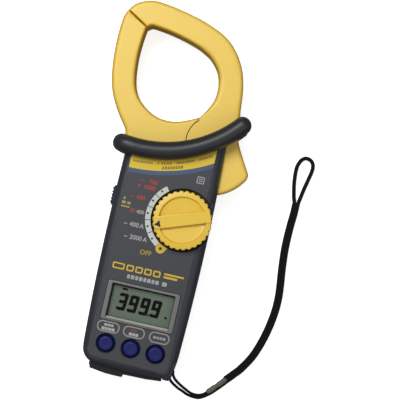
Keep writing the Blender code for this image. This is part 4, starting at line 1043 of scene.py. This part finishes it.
def digit(character, left):
    """A seven-segment figure: thick bars, butted together, with cut corners."""
    low, high, right, bar = FIGURE_V0, FIGURE_V1, left + FIGURE_W, BAR_W
    middle, corner = (low + high) / 2, bar * 0.38
    middle_left = left + (bar if "f" in SEGMENTS[character] else corner)
    parts = {
        "a": [(left, high - bar), (right, high - bar), (right, high - corner), (right - corner, high),
              (left + corner, high), (left, high - corner)],
        "d": [(left + corner, low), (right - corner, low), (right, low + corner), (right, low + bar),
              (left, low + bar), (left, low + corner)],
        "g": rect(middle_left, right - bar, middle - bar / 2, middle + bar / 2),
        "f": rect(left, left + bar, middle - bar / 2, high - bar),
        "b": rect(right - bar, right, middle, high - bar),
        "c": rect(right - bar, right, low + bar, middle)}
    return [prism([(x + (v - low) * SLANT, v) for x, v in parts[key]], FIGURE_H, FIGURE_TOP)
            for key in SEGMENTS[character]]


def figures():
    """The reading, with its decimal point and two small marks."""
    meshes = []
    for character, left in (("3", -15.9), ("9", -8.5), ("9", -0.8), ("9", 6.8)):
        meshes += digit(character, left)
    marks = (rect(5.45, 6.6, 41.0, 42.2), circle(17.8, 42.4, 0.8), rect(-14.2, -10.6, 54.6, 56.0, 0.3, 3))
    return merged(*meshes, *[prism(mark, FIGURE_H, FIGURE_TOP) for mark in marks])


# a thin sloping strip along the window's lower edge, paler than the bezel: a painted highlight on its lit lower
# inner wall
LIP_VERTS = [(-21.2, 34.62, 37.9), (21.2, 34.62, 37.9), (20.95, 35.78, 35.72), (-20.95, 35.78, 35.72),
             (-21.2, 34.4, 37.7), (21.2, 34.4, 37.7), (20.95, 35.5, 35.6), (-20.95, 35.5, 35.6)]
LIP_FACES = [(0, 1, 2, 3), (7, 6, 5, 4), (4, 5, 1, 0), (5, 6, 2, 1), (6, 7, 3, 2), (7, 4, 0, 3)]

piece("display_bezel", bezel(), FRAME_GREY, "case", "lcd_frame")
piece("display_window_plate", prism(rect(-20.9, 20.9, 35.8, 57.8, 0.4, 4), 34.7, 35.5, 0.15), WINDOW, "case",
      "lcd_window")
piece("display_back_layer", prism(rect(-23.0, 23.0, 34.4, 59.0, 0.6, 4), 32.2, 34.2, 0.2), LCD, "case",
      "lcd_glass")
piece("display_figures", figures(), SEGMENT, "case")
# painted shadow inside the window, wide along the top and left where the bezel's shadow falls
gasket = [[ring(edge, 35.45), ring(edge, 35.75)]
          for edge in (rect(-21.05, 21.05, 35.7, 57.95), rect(-20.25, 20.8, 35.95, 57.05))]
piece("display_gasket", hollow(*gasket), PAINTED_SHADOW_STRIP, "case")
piece("display_lower_lip_painted_highlight", (LIP_VERTS, LIP_FACES), PAINTED_LIT_LIP, "case")

# ---- buttons -------------------------------------------------------------
# (radius, h) from the hidden flange, over the rounded rim, to the dished top
button_profile = [(0, 33.0), (5.85, 33.0), (5.85, 35.9), (BUTTON_R + 0.25, 36.5), (BUTTON_R, 37.3), (BUTTON_R, 38.6)]
button_profile += [(BUTTON_R - 0.9 * (1 - math.cos(math.radians(a))), 38.6 + 1.1 * math.sin(math.radians(a)))
                   for a in (15, 30, 45, 60, 75, 88)]
button_profile += [(3.6, 39.78), (2.6, 39.7), (1.4, 39.6), (0.0, 39.56)]
for i, (x, body) in enumerate(zip(BUTTON_X, ("button_left", "button_middle", "button_right")), 1):
    piece(f"button_cap_{i}", placed(turned(button_profile, 64), x, BUTTON_V), BLUE, body,
          f"button_{i}")

# ---- dial ----------------------------------------------------------------
# one tooth of the rim: place in pitches from its middle, share of the tooth's height
TOOTH = ((-0.33, 0.6), (-0.26, 0.9), (-0.16, 1.0), (0.0, 1.02), (0.16, 1.0), (0.26, 0.9), (0.33, 0.6),
         (0.41, 0.15), (0.5, 0.0), (0.59, 0.15))
GRIP_R = 18.9                                # end radius of the bar across the dial


def toothed_rim():
    root, tip = DIAL_R - 1.3, DIAL_R - 0.2
    points = []
    for i in range(DIAL_TEETH):
        for offset, share in TOOTH:
            angle = 2 * math.pi * (i + offset) / DIAL_TEETH
            radius = root + (tip - root) * share
            points.append((radius * math.cos(angle), radius * math.sin(angle)))
    return points


# distances from the dial's centre line to the bar's two slightly tapered sides
def low_side(x):
    return 3.6 - 0.45 * x / GRIP_R


def high_side(x):
    return 4.7 + 0.6 * x / GRIP_R


def grip_outline(radius, trim):
    def reach(side, x):
        return math.degrees(math.asin((side(x) - trim) / radius))

    return (arc(0, 0, radius, -reach(high_side, radius), reach(low_side, radius), 12)
            + arc(0, 0, radius, 180 - reach(low_side, -radius), 180 + reach(high_side, -radius), 12))


def scoop(side):
    """Cutter for the recess on one side (1 or -1) of the bar: a floor that deepens towards the bar."""
    radius, columns, rows = 15.7, 30, 10
    bar_side = low_side if side > 0 else high_side
    x0 = -math.sqrt(radius * radius - (bar_side(-15.0) + 0.5) ** 2)
    x1 = math.sqrt(radius * radius - (bar_side(15.0) + 0.5) ** 2)
    verts, faces = [], []
    for top in (False, True):
        for i in range(columns + 1):
            x = x0 + (x1 - x0) * i / columns
            bar = bar_side(x)
            far = math.sqrt(max(radius * radius - x * x, (bar + 0.4) ** 2))
            for j in range(rows + 1):
                share = j / rows
                y = bar + (far - bar) * share
                floor_h = 42.8 + 0.7 * min(1.0, share / 0.93) ** 1.4 + (0.8 if j == rows else 0.0)
                verts.append((x, y * side, 50.0 if top else floor_h))

    def at(i, j, top):
        return top * (columns + 1) * (rows + 1) + i * (rows + 1) + j

    for i in range(columns):
        for j in range(rows):
            faces.append((at(i, j, 0), at(i, j + 1, 0), at(i + 1, j + 1, 0), at(i + 1, j, 0)))
            faces.append((at(i, j, 1), at(i + 1, j, 1), at(i + 1, j + 1, 1), at(i, j + 1, 1)))
    for i in range(columns):
        faces.append((at(i, 0, 0), at(i + 1, 0, 0), at(i + 1, 0, 1), at(i, 0, 1)))
        faces.append((at(i, rows, 0), at(i, rows, 1), at(i + 1, rows, 1), at(i + 1, rows, 0)))
    for j in range(rows):
        faces.append((at(0, j, 0), at(0, j, 1), at(0, j + 1, 1), at(0, j + 1, 0)))
        faces.append((at(columns, j, 0), at(columns, j + 1, 0), at(columns, j + 1, 1), at(columns, j, 1)))
    return (verts, faces) if side > 0 else flip((verts, faces))


def dial_knob():
    rim = toothed_rim()

    def blend(radius, share, h):
        """A ring between the toothed rim (share 1) and a circle (share 0)."""
        row = []
        for x, y in rim:
            rim_r = math.hypot(x, y)
            blended = radius + (rim_r - radius) * share
            row.append((x / rim_r * blended, y / rim_r * blended, h))
        return row

    base = loft([blend(DIAL_R - 1.4, 0.4, 34.0)]
                + [[(x * scale, y * scale, h) for x, y in rim]
                   for scale, h in ((1, 34.4), (1, 43.4), (0.995, 43.9), (0.983, 44.4))]
                + [blend(18.5, 0.35, 44.6), blend(18.0, 0.0, 44.7), blend(17.2, 0.0, 44.85),
                   blend(16.3, 0.0, 45.0)])
    # radius, trim of the sides, h
    grip_levels = ((GRIP_R, -0.05, 43.5), (GRIP_R, 0.0, 45.2), (18.75, 0.2, 45.5), (18.4, 0.5, 45.62),
                   (18.0, 0.8, 45.62))
    grip = loft([ring(grip_outline(radius, trim), h) for radius, trim, h in grip_levels])
    spindle = rod((0, 0), 3.5, 28.4, 34.6, 24)
    made = carve(base, (ADD, grip), (CUT, scoop(1)), (CUT, scoop(-1)), (ADD, spindle))
    return placed(made, *DIAL_C, turn=DIAL_REST)


piece("dial_knob_cap", dial_knob(), YELLOW_KNOB, "dial", "dial_knob", smooth=28.0)
pointer_c = polar(*DIAL_C, 15.95, DIAL_REST)
pointer = [polar(*pointer_c, 2.7, DIAL_REST + 120 * k) for k in range(3)]
piece("dial_pointer", film(pointer, 45.64), INK_DARK, "dial")

# ---- hold button ---------------------------------------------------------
# flanged cap on the left side, with five ribs
hold = [(-29.5, 105.7), (-29.5, 123.0), (-30.8, 123.0), (-30.8, 121.3), (-33.7, 121.3), (-34.5, 120.9),
        (-34.9, 120.2)]
for k in range(5):
    rib_v = 118.9 - 2.25 * k
    hold += [(-35.0, rib_v + 0.85), (-35.5, rib_v + 0.5), (-35.55, rib_v), (-35.5, rib_v - 0.5),
             (-35.0, rib_v - 0.85)]
hold += [(-34.9, 108.5), (-34.5, 107.8), (-33.7, 107.4), (-30.8, 107.4), (-30.8, 105.7)]
piece("hold_button_cap", prism(hold, 20.1, 28.9, 0.25), BLACK, "hold", "hold_button",
      smooth=40.0)

# ---- terminals -----------------------------------------------------------
BLOCK = [(-25.5, 12.6), (-25.5, 0.7), (-24.0, -0.3), (-13.0, -1.0), (0.0, -1.1), (14.0, -0.9), (24.2, 0.0),
         (24.2, 12.6)]
SLIDE = [(-24.6, 3.2), (-24.6, -0.7), (-24.2, -1.25), (-13.0, -2.7), (-2.4, -2.85), (-1.8, -2.3), (-1.8, 3.2)]
socket = turned([(0, -6.0), (4.6, -6.0), (4.6, -0.9), (3.9, -0.2), (3.9, 11.0), (0, 11.0)], 40)
sockets = [(CUT, placed(socket, x, 0.0, 19.0, along_v=True)) for x in (-18.6, -7.6, 11.5)]
piece("terminal_block_body", carve(prism(BLOCK, 9.3, 28.7, 0.3), *sockets), BLACK, "case",
      "terminal_block")
slide_cuts = [(CUT, prism(rect(-23.4, 5.0, -1.35, 6.0), 9.0, 29.0))]
slide_cuts += [(CUT, prism(rect(-17.2 + 2.0 * k, -16.4 + 2.0 * k, -6.0, -2.3), 12.0, 26.0)) for k in range(5)]
piece("terminal_cover_slide", carve(prism(SLIDE, 7.5, 30.5, 0.35), *slide_cuts), BLACK, "terminal_slide",
      "terminal_cover")

# ---- strap ---------------------------------------------------------------
UP = (0, 0, 1)
# (x, v, h) stations of the thin cord, looped through the lug
CORD_LINE = [
    (58.6, -2.4, 1.6), (56.4, -4.4, 1.6), (54.0, -6.3, 1.6), (51.4, -7.3, 1.6), (48.6, -7.5, 1.6),
    (45.7, -7.0, 2.0), (42.5, -5.4, 3.6), (39.2, -3.3, 7.0), (35.5, -0.5, 12.0), (32.5, 2.5, 16.4),
    (31.0, 5.2, 18.3), (30.5, 7.5, 18.9), (28.9, 8.6, 19.0), (27.1, 7.6, 19.0), (26.7, 5.6, 19.0),
    (27.6, 3.6, 18.9), (29.4, 1.5, 18.3), (31.3, -0.4, 17.0), (33.8, -2.5, 14.0), (37.0, -4.9, 9.0),
    (40.1, -6.6, 5.0), (43.3, -8.3, 2.8), (46.3, -9.1, 1.8), (49.2, -9.4, 1.6), (52.0, -9.1, 1.6),
    (54.6, -7.9, 1.6), (57.0, -6.2, 1.6), (60.1, -3.7, 1.6), (62.4, -1.2, 1.6), (64.7, 1.2, 1.6),
    (66.9, 3.7, 1.6), (68.8, 6.2, 1.6)]
SLEEVE_LINE = [(57.6, -3.2, 1.9), (58.9, -1.9, 1.9), (60.9, 0.3, 1.9), (63.1, 2.6, 1.9), (65.3, 5.0, 1.9),
               (66.7, 6.9, 1.9)]
# (x, v) stations midway between the strap's two strands, and of the loop that joins them
STRAP_LINE = [
    (67.3, 7.0), (70.0, 9.9), (72.4, 12.7), (75.7, 16.6), (81.4, 26.0), (85.0, 35.3), (87.5, 44.3),
    (89.2, 53.2), (90.2, 61.9), (90.3, 70.4), (89.6, 78.7), (88.6, 86.9), (87.8, 95.2), (87.2, 103.5),
    (87.1, 112.0), (87.3, 120.5), (87.8, 129.1), (87.8, 136.5)]
STRAP_LOOP = [
    (85.2, 140.4), (84.3, 144.5), (83.5, 148.6), (83.0, 152.8), (82.7, 157.0), (82.9, 161.3),
    (84.4, 165.3), (86.8, 167.6), (89.6, 167.7), (92.2, 166.2), (93.5, 163.2), (93.4, 159.2),
    (92.5, 154.8), (91.6, 150.4), (90.7, 145.9), (90.0, 141.6)]
STRAND_OFFSET, STRAP_STEPS = 1.36, 4


def sleeve_tube():
    line = spline(SLEEVE_LINE, 6)
    stations = []
    for i, point in enumerate(line):
        waist = 0.86 if 0.42 < i / (len(line) - 1) < 0.58 else 1.0
        stations.append((point, UP, (1.75 * waist, 1.8 * waist)))
    stations = round_end(stations, 4)
    return sweep(round_end(stations[::-1], 4)[::-1], 28, power=2.6)


def strap_path():
    """Up the left strand, round the loop and down the right strand."""
    line = spline(STRAP_LINE, STRAP_STEPS)
    left, right = [], []
    for i, (x, v) in enumerate(line):
        before, after = line[max(i - 1, 0)], line[min(i + 1, len(line) - 1)]
        tangent = Vector((after[0] - before[0], after[1] - before[1])).normalized()
        left.append((x - tangent.y * STRAND_OFFSET, v + tangent.x * STRAND_OFFSET))
        right.append((x + tangent.y * STRAND_OFFSET, v - tangent.x * STRAND_OFFSET))
    loop = spline([left[-1], *STRAP_LOOP, right[-1]], STRAP_STEPS)
    return left[:-1] + loop + right[:-1][::-1]


cord = [(point, UP, (0.95, 0.95)) for point in spline(CORD_LINE, 8)]
piece("strap_cord_loop", sweep(cord, 16), CORD, "strap_swing", "strap_cord")
piece("strap_sleeve_tube", sleeve_tube(), SLEEVE, "strap_swing", "strap_sleeve")
webbing = [((x, v, 1.7), UP, (1.05, 1.37)) for x, v in strap_path()]
piece("strap_webbing", sweep(webbing, 16, power=3.2), CORD, "strap_swing", "strap")

# ---- finishes for the CAD nodes that stay --------------------------------
BY_SLOT = {
    "jaw_yellow": YELLOW_JAW, "knob_yellow": YELLOW_KNOB, "case_dark": CASE, "panel_grey": PANEL,
    "frame_grey": FRAME_GREY, "button_blue": BLUE, "clear_window": WINDOW, "lcd_green": LCD,
    "white_plastic": WHITE, "black_plastic": BLACK, "rubber_strip": CONNECTOR, "board_green": BOARD,
    "steel": STEEL, "brass": BRASS, "core_steel": LAMINATE, "cell_wrap": CELL, "cord_black": CORD,
    "sleeve_grey": SLEEVE}
slots = {part["node"]: part["material_slot"] for part in frame["record"]["subparts"]}
for name, obj in frame["nodes"].items():
    obj.data.materials.clear()
    obj.data.materials.append(BY_SLOT[slots[name]])


# ---- floor, light, camera (metres from here on) --------------------------
def floor_paper():
    """White to the camera, mid grey to the light that bounces off it."""
    nodes = new_material("floor_paper")
    seen = nodes.node("LightPath").outputs["Is Camera Ray"]
    paper = nodes.mix(nodes.noise(nodes.coords(), 3.0), (0.93, 0.93, 0.93), (0.96, 0.96, 0.955))
    nodes.shade({"Base Color": nodes.mix(seen, (0.22, 0.22, 0.22), paper), "Roughness": 0.9,
                 "Specular IOR Level": 0.1, "Emission Color": (1, 1, 1),
                 "Emission Strength": nodes.math("MULTIPLY", seen, 0.72)})
    return nodes.owner


floor_data = bpy.data.meshes.new("floor")
floor_data.from_pydata([(x, y, -0.0002) for x, y in rect(-3, 3, -3, 3)], [], [(0, 1, 2, 3)])
floor = linked("floor", floor_data)
floor_data.materials.append(floor_paper())


def studio_dome():
    """A soft dome, bright overhead and dim near the horizon; the camera sees plain pale grey."""
    world = bpy.data.worlds.new("studio")
    bpy.context.scene.world = world
    nodes = Nodes(world, "Background")
    height = nodes.vertical(nodes.node("TexCoord").outputs["Generated"])
    dome = nodes.ramp(height, (0.0, (0.10, 0.10, 0.105)), (0.95, (0.46, 0.46, 0.46)))
    seen = nodes.node("LightPath").outputs["Is Camera Ray"]
    nodes.shade({"Color": nodes.mix(seen, dome, (0.93, 0.93, 0.93)), "Strength": 1.0})


def area_light(name, place, aim, size, watts):
    light = bpy.data.lights.new(name, "AREA")
    light.shape = "RECTANGLE"
    light.size, light.size_y = size
    light.energy = watts
    obj = linked(name, light)
    obj.location = place
    obj.rotation_mode = "QUATERNION"
    obj.rotation_quaternion = (Vector(aim) - Vector(place)).to_track_quat("-Z", "Y")


def straight_down_camera():
    # millimetres: height above the aimed-at plane, and the width seen there
    distance, view_width, plane_h = 850.0, 266.0, 31.0
    data = bpy.data.cameras.new("camera")
    camera = linked("camera", data)
    data.sensor_width = 36.0
    data.lens = data.sensor_width * distance / view_width
    data.clip_start, data.clip_end = 0.01, 20.0
    camera.location = (22.77 * MM, (123.80 - ORIGIN_V) * MM, (plane_h + distance) * MM)
    camera.rotation_euler = (0.0, 0.0, math.radians(12.8))
    bpy.context.scene.camera = camera


studio_dome()
area_light("key", place=(-0.38, 0.42, 0.98), aim=(0.0, 0.02, 0.02), size=(0.60, 0.45), watts=7.7)
area_light("fill", place=(0.8, -0.3, 1.0), aim=(0.0, 0.0, 0.02), size=(0.9, 0.9), watts=1.4)
straight_down_camera()
bpy.context.scene.view_settings.view_transform = "Standard"
bpy.context.scene.view_settings.look = "None"
